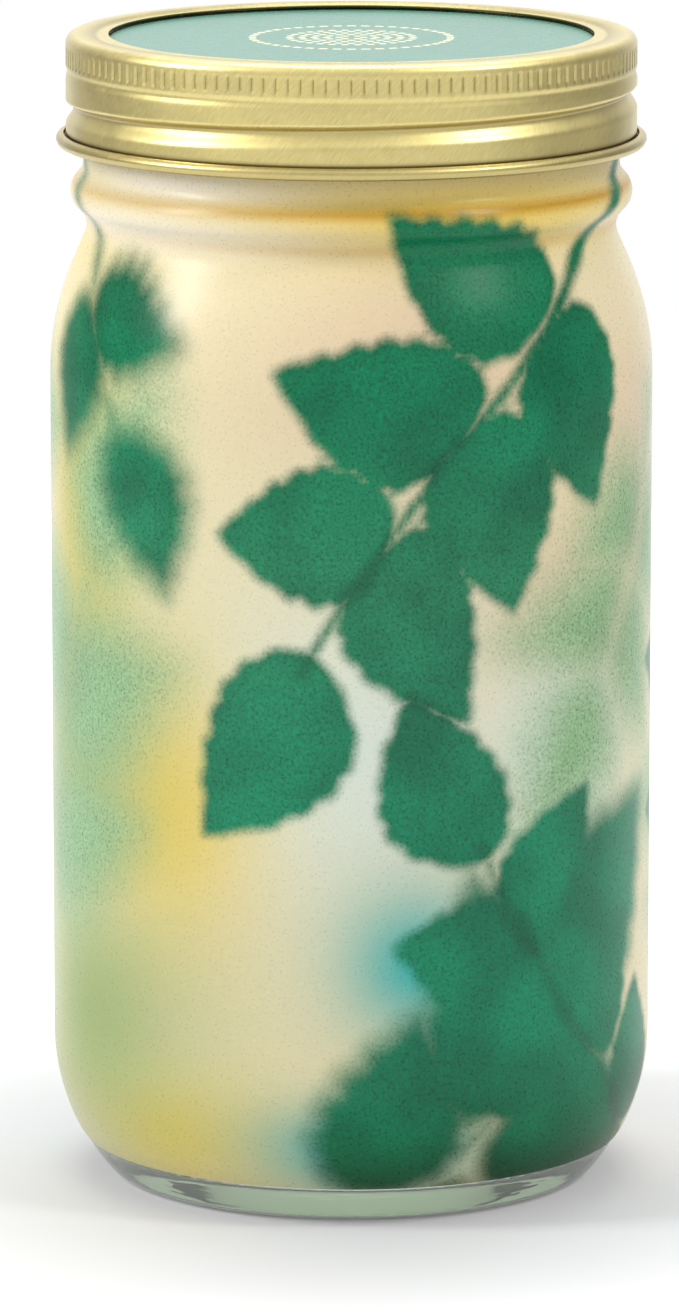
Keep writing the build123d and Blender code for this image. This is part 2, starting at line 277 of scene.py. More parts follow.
def from_groove(turn: np.ndarray, count: int) -> np.ndarray:
    """Distance to the nearest of a number of equal grooves, as a share of their spacing."""
    share = turn * count / 360.0 % 1.0
    return np.minimum(share, 1 - share)


# Pieces by hand


def deselect_all() -> None:
    """Clears the selection, as a new primitive and the loaded nodes are selected."""
    bpy.ops.object.select_all(action="DESELECT")


def edit_all() -> None:
    """Enters edit mode with all of the active piece selected."""
    bpy.ops.object.mode_set(mode="EDIT")
    bpy.ops.mesh.select_all(action="SELECT")


def settle(piece: bpy.types.Object, smooth: float) -> None:
    """Closes a mesh, turns its faces outwards, applies its place and smooths it.

    Args:
        piece: Piece in object mode.
        smooth: Largest angle in degrees that is shaded smooth.
    """
    deselect_all()
    bpy.context.view_layer.objects.active = piece
    piece.select_set(True)
    edit_all()
    bpy.ops.mesh.remove_doubles(threshold=0.004 * MM)
    bpy.ops.mesh.normals_make_consistent(inside=False)
    bpy.ops.object.mode_set(mode="OBJECT")
    bpy.ops.object.transform_apply(location=True, rotation=True, scale=True)
    bpy.ops.object.shade_smooth_by_angle(angle=math.radians(smooth))
    deselect_all()


def drawn_line(name: str, points: list[Vector]) -> bpy.types.Object:
    """Draws a line by extruding one vertex from point to point.

    Args:
        name: Name of the piece.
        points: Points in millimetres.

    Returns:
        The piece in edit mode, with all of it selected.
    """
    deselect_all()
    bpy.ops.mesh.primitive_plane_add(size=MM, location=(0, 0, 0))
    piece = bpy.context.object
    piece.name = piece.data.name = name
    edit_all()
    bpy.ops.mesh.merge(type="CENTER")
    bpy.ops.transform.translate(value=points[0] * MM)
    for here, goal in zip(points, points[1:]):
        bpy.ops.mesh.extrude_region_move(TRANSFORM_OT_translate={"value": (goal - here) * MM})
    bpy.ops.mesh.select_all(action="SELECT")
    return piece


def extrude_rows(count: int, step: tuple[float, float, float]) -> None:
    """Extrudes the selection again and again, and leaves edit mode.

    Args:
        count: Number of extrusions.
        step: Move of each one in metres.
    """
    for _ in range(count):
        bpy.ops.mesh.extrude_region_move(TRANSFORM_OT_translate={"value": step})
    bpy.ops.object.mode_set(mode="OBJECT")


def turned_piece(name: str, outline: list[Point], steps: int, wedges: int) -> bpy.types.Object:
    """Spins an outline about the jar's axis, first one wedge and then its copies.

    Args:
        name: Name of the piece.
        outline: Radius and height of each point in millimetres.
        steps: Number of steps in the full turn, a multiple of the wedges.
        wedges: Number of wedges.

    Returns:
        The piece in object mode, not settled yet.
    """
    piece = drawn_line(name, [Vector((0, -radius, height)) for radius, height in outline])
    about = {"center": (0, 0, 0), "axis": (0, 0, 1)}
    bpy.ops.mesh.spin(steps=steps // wedges, angle=2 * math.pi / wedges, **about)
    bpy.ops.mesh.select_all(action="SELECT")
    bpy.ops.mesh.spin(steps=wedges - 1, angle=2 * math.pi * (1 - 1 / wedges), dupli=True, **about)
    bpy.ops.object.mode_set(mode="OBJECT")
    return piece


def read_points(piece: bpy.types.Object) -> np.ndarray:
    """Reads a piece's vertices as an array of millimetres."""
    values = np.empty(len(piece.data.vertices) * 3, np.float32)
    piece.data.vertices.foreach_get("co", values)
    return values.reshape(-1, 3).astype(float) / MM


def write_points(piece: bpy.types.Object, points: np.ndarray) -> None:
    """Writes an array of millimetres back to a piece's vertices."""
    piece.data.vertices.foreach_set("co", (points * MM).astype(np.float32).ravel())
    piece.data.update()


def push_out(points: np.ndarray, distance: np.ndarray, least: float = 1.0) -> None:
    """Moves points away from the jar's axis, in place.

    Args:
        points: Points in millimetres.
        distance: How far each one moves, negative for inwards.
        least: Radius in millimetres below which the move fades.
    """
    radius = np.hypot(points[:, 0], points[:, 1])
    points[:, :2] *= (1 + distance / np.maximum(radius, least))[:, None]


def store_values(piece: bpy.types.Object, name: str, values: np.ndarray) -> None:
    """Stores one number for each vertex under a name."""
    attribute = piece.data.attributes.new(name, "FLOAT", "POINT")
    attribute.data.foreach_set("value", values.astype(np.float32))


def rough_field(points: np.ndarray, grain: float, seed: float) -> np.ndarray:
    """Fractal noise between about -1 and 1 at each point.

    Args:
        points: Points in millimetres.
        grain: Size of the coarsest bumps in millimetres.
        seed: Shift that gives each use its own pattern.

    Returns:
        One value for each point.
    """
    shift = Vector((seed, seed, seed))
    return np.array([noise.fractal(Vector(point) / grain + shift, 1.0, 2.0, 3) for point in points])


def finish_modifier(piece: bpy.types.Object, kind: str, **settings: object) -> None:
    """Adds a modifier with its settings and applies it.

    Args:
        piece: Piece in object mode.
        kind: Type of the modifier.
        settings: Attributes of the modifier.
    """
    modifier = piece.modifiers.new(kind.lower(), kind)
    for name, value in settings.items():
        setattr(modifier, name, value)
    bpy.context.view_layer.objects.active = piece
    bpy.ops.object.modifier_apply(modifier=modifier.name)


def join_pieces(first: bpy.types.Object, others: list[bpy.types.Object]) -> None:
    """Joins pieces into the first one.

    Args:
        first: Piece that stays.
        others: Pieces that become part of it.
    """
    deselect_all()
    for piece in (first, *others):
        piece.select_set(True)
    bpy.context.view_layer.objects.active = first
    bpy.ops.object.join()


def dress(
    piece: bpy.types.Object, material: bpy.types.Material, slot: str, body: str, *nodes: str
) -> None:
    """Gives a new piece its material and body, and the nodes it stands for.

    Args:
        piece: Finished piece.
        material: Its material.
        slot: Not used.
        body: Body that it rides on.
        nodes: Nodes that it replaces.
    """
    piece.data.materials.clear()
    piece.data.materials.append(material)
    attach(piece, body)
    if nodes:
        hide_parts(*nodes)
    log.info("%s: %d faces on body %s", piece.name, len(piece.data.polygons), body)


def dress_node(node: str, material: bpy.types.Material) -> None:
    """Gives a loaded node its material."""
    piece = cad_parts[node]
    piece.data.materials.clear()
    piece.data.materials.append(material)
    log.info("%s: kept with %s", node, material.name)


# Finishes


def roughen(
    tree: bpy.types.NodeTree,
    shader: bpy.types.Node,
    grain: bpy.types.NodeSocket,
    rough: tuple[float, float],
    strength: float,
    relief: float,
) -> None:
    """Lets one grain set a surface's roughness and relief.

    Args:
        tree: Node tree of the material.
        shader: Its principled shader.
        grain: The grain, from 0 to 1.
        rough: Roughness at the grain's two ends.
        strength: Strength of the relief.
        relief: Height of the relief in millimetres.
    """
    spread = add_node(tree, "MapRange", {"Value": grain, "To Min": rough[0], "To Max": rough[1]})
    bump = add_node(tree, "Bump", {"Height": grain, "Strength": strength, "Distance": relief * MM})
    feed(tree, shader, {"Roughness": spread.outputs["Result"], "Normal": bump.outputs["Normal"]})


@dataclass(frozen=True)
class BlownGlass:
    """Soda-lime glass, blown in a mould: clear with a faint green tint and soft ripples."""

    tint: str = "f6fbf6"
    body_tint: str = "ccdec2"
    density: float = 26.0
    ior: float = 1.52
    clear: float = 0.84
    stippled: float = 0.25
    stipple_span: tuple[float, float] = (0.5, 1.3)
    roughness: tuple[float, float] = (0.012, 0.036)
    ripple_size: float = 9.0
    ripple_height: float = 0.25
    ripple_strength: float = 0.3

    def make(self) -> bpy.types.Material:
        """Builds the material.

        Returns:
            The glass material.
        """
        material, tree, shader = new_material("blown_soda_lime_glass")
        # The mould's texture scatters a little light, and the stippled ring it stands on scatters more.
        place = add_node(tree, "TexCoord").outputs["Object"]
        height = add_node(tree, "SeparateXYZ", {"Vector": place}).outputs["Z"]
        low, high = self.stipple_span
        clear = add_node(
            tree, "MapRange",
            {"Value": height, "From Min": low * MM, "From Max": high * MM,
             "To Min": self.stippled, "To Max": self.clear},
        ).outputs["Result"]
        feed(tree, shader, {"Base Color": linear(self.tint), "IOR": self.ior, "Transmission Weight": clear})
        # Iron in the sand tints the thick base green, while the wall stays clear.
        depth = add_node(
            tree, "VolumeAbsorption", {"Color": linear(self.body_tint), "Density": self.density}
        )
        tree.links.new(depth.outputs["Volume"], tree.nodes["Material Output"].inputs["Volume"])
        # The mould leaves low ripples, which break up what shows through the wall.
        ripple = add_node(
            tree, "TexNoise", {"Vector": place, "Scale": scale_of(self.ripple_size), "Detail": 2.0}
        ).outputs["Fac"]
        roughen(tree, shader, ripple, self.roughness, self.ripple_strength, self.ripple_height)
        return material


@dataclass(frozen=True)
class PrintedFilm:
    """Gloss shrink film, gravure printed: blurred leaves over soft washes, with a fine dot grain."""

    paper: str = "ece0b6"
    washes: tuple[tuple[Wash, str], ...] = (
        (Wash.PEACH, "e8cfac"),
        (Wash.MINT, "e2ede0"),
        (Wash.SUN, "f2d466"),
        (Wash.OLIVE, "9cb070"),
        (Wash.TEAL, "3fb9b2"),
        (Wash.CREAM, "fbf2dc"),
        # Amber colour of the painted shade round the bead.
        (Wash.BEAD_SHADE, "cc9a12"),
    )
    greens: tuple[tuple[float, str], ...] = (
        (5.0, "00380f"), (14.0, "006e47"), (30.0, "007a57"), (60.0, "0a7b57"), (100.0, "217a55"),
        (125.0, "00764f"), (150.0, "007048"),
    )
    far_green: str = "8db585"
    overlap: str = "00311c"
    overlap_share: float = 0.4
    blurs: tuple[float, float, float] = (9.0, 3.4, 1.25)
    wander: float = 1.2
    wander_size: float = 5.0
    drift: float = 0.2
    drift_size: float = 13.0
    drift_span: tuple[float, float] = (0.35, 0.65)
    grain: float = 0.45
    # Grain of the leaves and of the ground: the noise's span, then the tone at its ends.
    leaf_grain: tuple[float, float, float, float] = (0.3, 0.7, 0.75, 1.3)
    ground_grain: tuple[float, float, float, float] = (0.32, 0.7, 0.97, 1.03)
    ior: float = 1.5
    specular: float = 0.25
    translucency: float = 0.15
    backing: str = "e9eae4"
    roughness: tuple[float, float] = (0.225, 0.375)
    grain_strength: float = 0.1
    grain_height: float = 0.03

    def leaf_green(self, tree: bpy.types.NodeTree, height: bpy.types.NodeSocket) -> bpy.types.NodeSocket:
        """Mixes the leaf green, which is deep near the heel and lighter above.

        Args:
            tree: Node tree of the material.
            height: Height above the ground.

        Returns:
            The green's socket.
        """
        green = linear(self.greens[0][1])
        for (low, _), (high, code) in zip(self.greens, self.greens[1:]):
            share = add_node(
                tree, "MapRange", {"Value": height, "From Min": low * MM, "From Max": high * MM}
            )
            green = add_node(
                tree, "MixRGB", {"Fac": share.outputs["Result"], "Color1": green, "Color2": linear(code)}
            ).outputs["Color"]
        return green

    def leaf_masks(
        self, tree: bpy.types.NodeTree, layer: Layer, wander: bpy.types.NodeSocket, blur: float
    ) -> list[bpy.types.NodeSocket]:
        """Turns a layer's two stored distances into soft-edged masks.

        Args:
            tree: Node tree of the material.
            layer: Layer of the print.
            wander: Noise that makes the edges wander.
            blur: Half width of the soft edge in millimetres.

        Returns:
            One mask for each of the layer's two plies.
        """
        masks = []
        for ply in range(2):
            distance = add_node(tree, "Attribute", attribute_name=f"{layer.value}_{ply}").outputs["Fac"]
            moved = add_node(
                tree, "Math", {0: wander, 1: -self.wander, 2: distance}, operation="MULTIPLY_ADD"
            ).outputs[0]
            masks.append(add_node(
                tree, "MapRange",
                {"Value": moved, "From Min": blur - self.wander / 2, "From Max": -blur - self.wander / 2},
                interpolation_type="SMOOTHSTEP",
            ).outputs["Result"])
        return masks

    def make(self) -> bpy.types.Material:
        """Builds the material from the film's own printed attributes.

        Returns:
            The film material.
        """
        material, tree, shader = new_material("gloss_printed_shrink_film")
        place = add_node(tree, "TexCoord").outputs["Object"]
        height = add_node(tree, "SeparateXYZ", {"Vector": place}).outputs["Z"]
        paint = linear(self.paper)
        for wash, code in self.washes:
            share = add_node(tree, "Attribute", attribute_name=wash.value).outputs["Fac"]
            paint = add_node(
                tree, "MixRGB", {"Fac": share, "Color1": paint, "Color2": linear(code)}
            ).outputs["Color"]
        # Leaf edges wander by a fraction of a millimetre, as a blurred print's do.
        wander = add_node(
            tree, "TexNoise", {"Vector": place, "Scale": scale_of(self.wander_size), "Detail": 2.0}
        ).outputs["Fac"]
        green = self.leaf_green(tree, height)
        # Ink density drifts across the leaves, as in a soft-focus print.
        drift = add_node(
            tree, "TexNoise", {"Vector": place, "Scale": scale_of(self.drift_size), "Detail": 1.0}
        ).outputs["Fac"]
        low, high = self.drift_span
        density = add_node(
            tree, "MapRange",
            {"Value": drift, "From Min": low, "From Max": high,
             "To Min": 1 - self.drift, "To Max": 1 + self.drift},
        ).outputs["Result"]
        green = add_node(tree, "VectorMath", {0: green, 1: density}, operation="MULTIPLY").outputs[0]
        tones = (linear(self.far_green), green, green)
        cover = 0.0
        for layer, tone, blur in zip(Layer, tones, self.blurs):
            first, second = self.leaf_masks(tree, layer, wander, blur)
            both = add_node(tree, "Math", {0: first, 1: second}, operation="MULTIPLY").outputs[0]
            mask = add_node(tree, "Math", {0: first, 1: second}, operation="MAXIMUM").outputs[0]
            deeper = add_node(
                tree, "Math", {0: both, 1: self.overlap_share}, operation="MULTIPLY"
            ).outputs[0]
            leaf = add_node(
                tree, "MixRGB", {"Fac": deeper, "Color1": tone, "Color2": linear(self.overlap)}
            ).outputs["Color"]
            paint = add_node(
                tree, "MixRGB", {"Fac": mask, "Color1": paint, "Color2": leaf}
            ).outputs["Color"]
            cover = add_node(tree, "Math", {0: cover, 1: mask}, operation="MAXIMUM").outputs[0]
        # Dot grain of the print, drawn at about half a millimetre so that it shows.
        dots = add_node(
            tree, "TexNoise", {"Vector": place, "Scale": scale_of(self.grain), "Detail": 1.0}
        ).outputs["Fac"]
        faint, speck = (
            add_node(
                tree, "MapRange",
                {"Value": dots, "From Min": start, "From Max": end, "To Min": low, "To Max": high},
            ).outputs["Result"]
            for start, end, low, high in (self.ground_grain, self.leaf_grain)
        )
        strength = add_node(tree, "Mix", {"Factor": cover, "A": faint, "B": speck}, data_type="FLOAT")
        paint = add_node(
            tree, "VectorMath", {0: paint, 1: strength.outputs["Result"]}, operation="MULTIPLY"
        ).outputs[0]
        # White ink backs the print, so the side towards the glass is pale.
        behind = add_node(tree, "Attribute", attribute_name="inside").outputs["Fac"]
        paint = add_node(
            tree, "MixRGB", {"Fac": behind, "Color1": paint, "Color2": linear(self.backing)}
        ).outputs["Color"]
        # Some light passes through the thin ink and brightens the jar's inside.
        feed(tree, shader, {
            "Base Color": paint, "IOR": self.ior, "Specular IOR Level": self.specular,
            "Transmission Weight": self.translucency,
        })
        roughen(tree, shader, dots, self.roughness, self.grain_strength, self.grain_height)
        return material


@dataclass(frozen=True)
class BrushedBrass:
    """Brass-lacquered tinplate, brushed and rolled: satin, with fine scratches under clear lacquer."""

    dull: str = "d8c67c"
    bright: str = "e9dc9c"
    # Colour of the painted shade in the band's groove, flutes, joint above the curl, flange ring and curl.
    painted_shade_colour: str = "5c4614"
    roughness: tuple[float, float] = (0.32, 0.48)
    wear_span: tuple[float, float] = (0.7, 1.3)
    coat: float = 0.5
    coat_roughness: float = 0.25
    scratch_width: float = 0.13
    scratch_length: float = 2.0
    scratch_span: tuple[float, float] = (0.35, 0.7)
    scratch_strength: float = 0.2
    scratch_depth: float = 0.02
    cloud_size: float = 7.0
    slant: float = 52.0
    wall_radius: float = 43.8

    def make(self) -> bpy.types.Material:
        """Builds the material.

        Returns:
            The brass material.
        """
        material, tree, shader = new_material("brushed_brass_lacquer")
        source = add_node(tree, "TexCoord").outputs["Object"]
        place = add_node(tree, "SeparateXYZ", {"Vector": source})
        # The wall is unrolled to length along the rim and height, and turned to the scratches' slant.
        across, back = place.outputs["X"], place.outputs["Y"]
        angle = add_node(tree, "Math", {0: across, 1: back}, operation="ARCTAN2").outputs[0]
        along = add_node(
            tree, "Math", {0: angle, 1: self.wall_radius * MM}, operation="MULTIPLY"
        ).outputs[0]
        sheet = add_node(tree, "CombineXYZ", {"X": along, "Y": place.outputs["Z"]}).outputs["Vector"]
        slanted = add_node(
            tree, "Mapping", {"Vector": sheet, "Rotation": (0, 0, math.radians(self.slant))}
        ).outputs["Vector"]
        stretched = add_node(
            tree,
            "Mapping",
            {"Vector": slanted,
             "Scale": (scale_of(self.scratch_length), scale_of(self.scratch_width), 1.0)},
        ).outputs["Vector"]
        scratch = add_node(
            tree, "TexNoise", {"Vector": stretched, "Scale": 1.0, "Detail": 3.0, "Roughness": 0.6}
        ).outputs["Fac"]
        cloud = add_node(
            tree, "TexNoise", {"Vector": source, "Scale": scale_of(self.cloud_size), "Detail": 2.0}
        ).outputs["Fac"]
        low, high = self.scratch_span
        sharp = add_node(
            tree, "MapRange", {"Value": scratch, "From Min": low, "From Max": high}
        ).outputs["Result"]
        tone = add_node(
            tree, "MixRGB", {"Fac": sharp, "Color1": linear(self.dull), "Color2": linear(self.bright)}
        ).outputs["Color"]
        # Painted shade: the stored crease share darkens the groove, the flutes, the joint above the curl,
        # the flange's ring and the curl towards the shade colour.
        crease = add_node(tree, "Attribute", attribute_name="crease").outputs["Fac"]
        tone = add_node(
            tree, "MixRGB", {"Fac": crease, "Color1": tone, "Color2": linear(self.painted_shade_colour)}
        ).outputs["Color"]
        worn = add_node(tree, "Math", {0: cloud, 1: scratch}, operation="ADD").outputs[0]
        low, high = self.wear_span
        rough = add_node(
            tree,
            "MapRange",
            {"Value": worn, "From Min": low, "From Max": high,
             "To Min": self.roughness[0], "To Max": self.roughness[1]},
        ).outputs["Result"]
        bump = add_node(
            tree, "Bump",
            {"Height": scratch, "Strength": self.scratch_strength, "Distance": self.scratch_depth * MM},
        ).outputs["Normal"]
        feed(tree, shader, {
            "Base Color": tone, "Metallic": 1.0, "Roughness": rough, "Normal": bump,
            "Coat Weight": self.coat, "Coat Roughness": self.coat_roughness,
        })
        return material


@dataclass(frozen=True)
class EnamelledTin:
    """Enamelled tinplate, roller coated: satin green with a gold ring of dashes round a dotted rosette."""

    green: str = "4f8876"
    gold: str = "e2dcb4"
    roughness: tuple[float, float] = (0.21, 0.33)
    ior: float = 1.55
    ring_radius: float = 15.2
    ring_width: float = 1.1
    dash_count: float = 44.0
    dash_span: tuple[float, float] = (-0.5, -0.3)
    dot_pitch: float = 1.9
    dot_radius: float = 0.62
    dot_rings: float = 5.0
    edge: float = 0.12
    # Near-black painted shadow on the disc's rim, in the gap under the band's flange.
    seal: str = "0d1410"
    gap_shadow_radius: float = 37.0
    cloud_size: float = 9.0
    cloud: tuple[float, float] = (0.92, 1.08)
    peel_size: float = 0.8
    peel_strength: float = 0.1
    peel_height: float = 0.02

    def dot_distance(
        self, tree: bpy.types.NodeTree, radius: bpy.types.NodeSocket, angle: bpy.types.NodeSocket
    ) -> bpy.types.NodeSocket:
        """Distance to the nearest dot of the rosette, whose rings hold six dots more each.

        Args:
            tree: Node tree of the material.
            radius: Distance from the jar's axis.
            angle: Angle about the axis.

        Returns:
            The distance in metres.
        """
        pitch = self.dot_pitch * MM
        ring = add_node(tree, "Math", {0: radius, 1: 1 / pitch}, operation="MULTIPLY").outputs[0]
        ring = add_node(tree, "Math", {0: ring}, operation="ROUND").outputs[0]
        ring = add_node(tree, "Math", {0: ring, 1: 1.0}, operation="MAXIMUM").outputs[0]
        home = add_node(tree, "Math", {0: ring, 1: pitch}, operation="MULTIPLY").outputs[0]
        off = add_node(tree, "Math", {0: radius, 1: home}, operation="SUBTRACT").outputs[0]
        turns = add_node(tree, "Math", {0: angle, 1: 3 / math.pi}, operation="MULTIPLY").outputs[0]
        turns = add_node(tree, "Math", {0: turns, 1: ring}, operation="MULTIPLY").outputs[0]
        nearest = add_node(tree, "Math", {0: turns}, operation="ROUND").outputs[0]
        left = add_node(tree, "Math", {0: turns, 1: nearest}, operation="SUBTRACT").outputs[0]
        side = add_node(tree, "Math", {0: left, 1: pitch * math.pi / 3}, operation="MULTIPLY").outputs[0]
        away = add_node(tree, "CombineXYZ", {"X": off, "Y": side}).outputs["Vector"]
        return add_node(tree, "VectorMath", {0: away}, operation="LENGTH").outputs["Value"]

    def make(self) -> bpy.types.Material:
        """Builds the material.

        Returns:
            The enamel material.
        """
        material, tree, shader = new_material("satin_enamelled_tinplate")
        source = add_node(tree, "TexCoord").outputs["Object"]
        place = add_node(tree, "SeparateXYZ", {"Vector": source})
        across, back = place.outputs["X"], place.outputs["Y"]
        angle = add_node(tree, "Math", {0: back, 1: across}, operation="ARCTAN2").outputs[0]
        flat = add_node(tree, "CombineXYZ", {"X": across, "Y": back}).outputs["Vector"]
        radius = add_node(tree, "VectorMath", {0: flat}, operation="LENGTH").outputs["Value"]
        off_ring = add_node(
            tree, "Math",
            {0: radius, 1: self.ring_radius * MM, 2: self.ring_width / 2 * MM},
            operation="COMPARE",
        ).outputs[0]
        wave = add_node(tree, "Math", {0: angle, 1: self.dash_count}, operation="MULTIPLY").outputs[0]
        wave = add_node(tree, "Math", {0: wave}, operation="COSINE").outputs[0]
        low, high = self.dash_span
        dash = add_node(
            tree, "MapRange", {"Value": wave, "From Min": low, "From Max": high}
        ).outputs["Result"]
        ring = add_node(tree, "Math", {0: off_ring, 1: dash}, operation="MULTIPLY").outputs[0]
        dot = add_node(
            tree,
            "MapRange",
            {"Value": self.dot_distance(tree, radius, angle),
             "From Min": (self.dot_radius + self.edge) * MM,
             "From Max": (self.dot_radius - self.edge) * MM},
        ).outputs["Result"]
        limit = (self.dot_rings + 0.5) * self.dot_pitch * MM
        near = add_node(tree, "Math", {0: radius, 1: limit}, operation="LESS_THAN").outputs[0]
        rosette = add_node(tree, "Math", {0: dot, 1: near}, operation="MULTIPLY").outputs[0]
        printed = add_node(tree, "Math", {0: ring, 1: rosette}, operation="MAXIMUM").outputs[0]
        # Enamel has a slight orange peel and a cloudy tone.
        cloud = add_node(
            tree, "TexNoise", {"Vector": source, "Scale": scale_of(self.cloud_size), "Detail": 3.0}
        ).outputs["Fac"]
        low, high = self.cloud
        value = add_node(
            tree, "MapRange", {"Value": cloud, "To Min": low, "To Max": high}
        ).outputs["Result"]
        tone = add_node(
            tree, "HueSaturation", {"Color": linear(self.green), "Value": value}
        ).outputs["Color"]
        paint = add_node(
            tree, "MixRGB", {"Fac": printed, "Color1": tone, "Color2": linear(self.gold)}
        ).outputs["Color"]
        # Painted shadow: the disc's rim, under the band's flange, is painted near black for the shade in
        # the gap there.
        rim = add_node(
            tree, "Math", {0: radius, 1: self.gap_shadow_radius * MM}, operation="GREATER_THAN"
        ).outputs[0]
        paint = add_node(
            tree, "MixRGB", {"Fac": rim, "Color1": paint, "Color2": linear(self.seal)}
        ).outputs["Color"]
        feed(tree, shader, {"Base Color": paint, "IOR": self.ior})
        peel = add_node(
            tree, "TexNoise", {"Vector": source, "Scale": scale_of(self.peel_size), "Detail": 2.0}
        ).outputs["Fac"]
        roughen(tree, shader, peel, self.roughness, self.peel_strength, self.peel_height)
        return material


@dataclass(frozen=True)
class GrainedFinish:
    """A matte finish whose colour, roughness and bump follow one grain, such as rubber, felt or paper."""

    name: str
    dark: str
    light: str
    roughness: float
    ior: float
    grain: float
    relief: float
    stretch: tuple[float, float, float] = (1.0, 1.0, 1.0)
    sheen: float = 0.0
    spread: float = 0.06
    strength: float = 0.5
    contrast: tuple[float, float] = (0.3, 0.7)

    def make(self) -> bpy.types.Material:
        """Builds the material.

        Returns:
            The grained material.
        """
        material, tree, shader = new_material(self.name)
        place = add_node(tree, "TexCoord").outputs["Object"]
        scale = tuple(share * scale_of(self.grain) for share in self.stretch)
        mapped = add_node(tree, "Mapping", {"Vector": place, "Scale": scale}).outputs["Vector"]
        grain = add_node(
            tree, "TexNoise", {"Vector": mapped, "Scale": 1.0, "Detail": 4.0, "Roughness": 0.6}
        ).outputs["Fac"]
        low, high = self.contrast
        contrast = add_node(
            tree, "MapRange", {"Value": grain, "From Min": low, "From Max": high}
        ).outputs["Result"]
        tone = add_node(
            tree, "MixRGB", {"Fac": contrast, "Color1": linear(self.dark), "Color2": linear(self.light)}
        ).outputs["Color"]
        feed(tree, shader, {"Base Color": tone, "IOR": self.ior, "Sheen Weight": self.sheen})
        rough = (self.roughness - self.spread, self.roughness + self.spread)
        roughen(tree, shader, grain, rough, self.strength, self.relief)
        return material


# Matte and slightly dusty, as extruded seal rubber is.
GASKET_RUBBER = GrainedFinish("extruded_seal_rubber", "b8b2a6", "cfcabf", 0.7, 1.52, 0.6, 0.03)
# Polypropylene from a textured mould: black with a fine even grain.
POT_PLASTIC = GrainedFinish("moulded_black_polypropylene", "121314", "1e1f21", 0.5, 1.49, 0.5, 0.04)
# Needled polyester felt: soft fibres that run along the strip.
WICK_FELT = GrainedFinish(
    "needled_polyester_felt", "c9c6bb", "e6e3da", 0.9, 1.5, 0.5, 0.25, (1.0, 1.0, 0.25), 0.4
)
# Pressed coir: coarse brown fibre with dark gaps.
COIR = GrainedFinish("pressed_coir_fibre", "2b1a0e", "7a5636", 0.95, 1.5, 1.3, 0.8, (1.0, 1.0, 0.5), 0.1)
# Spun-bonded cloth: white with a fine pressed fleck.
FILTER_CLOTH = GrainedFinish(
    "spunbonded_filter_cloth", "c9cac6", "e9e9e5", 0.8, 1.5, 0.7, 0.12, (1.0, 0.5, 1.0), 0.2
)
# Kraft paper laminated on foil: warm brown, half matte, with long paper fibre.
KRAFT_LAMINATE = GrainedFinish(
    "kraft_foil_laminate", "a07a4e", "c09a6b", 0.45, 1.5, 1.1, 0.05, (1.0, 0.3, 1.0)
)
# Uncoated seed paper: cream with a soft fibre cloud.
SEED_PAPER = GrainedFinish("uncoated_seed_paper", "d8cfb0", "e9e2c9", 0.8, 1.5, 1.6, 0.04, (1.0, 0.6, 1.0))
# Coated leaflet paper: off-white with a low sheen.
GUIDE_PAPER = GrainedFinish("coated_leaflet_paper", "e2e2da", "efefe9", 0.5, 1.5, 2.2, 0.02)


# Sub-assemblies


def polygon_distance(u: np.ndarray, v: np.ndarray, corners: np.ndarray) -> np.ndarray:
    """Distance from each place to a closed outline, negative inside it.

    Args:
        u: First coordinate of each place.
        v: Second coordinate of each place.
        corners: Corners of the outline, one row each.

    Returns:
        One distance for each place.
    """
    best = np.full(u.shape, np.inf)
    inside = np.zeros(u.shape, bool)
    for (x, y), (next_x, next_y) in zip(corners, np.roll(corners, -1, axis=0)):
        run, climb = next_x - x, next_y - y
        share = np.clip(((u - x) * run + (v - y) * climb) / (run * run + climb * climb + 1e-12), 0, 1)
        best = np.minimum(best, (u - x - share * run) ** 2 + (v - y - share * climb) ** 2)
        if climb:
            crossed = ((y > v) != (next_y > v)) & (u < run * (v - y) / climb + x)
            inside ^= crossed
    return np.where(inside, -1.0, 1.0) * np.sqrt(best)


def nearer_way(distance: np.ndarray, girth: float) -> np.ndarray:
    """Distance round the film by the nearer way, between minus and plus half its girth."""
    return (distance + girth / 2) % girth - girth / 2


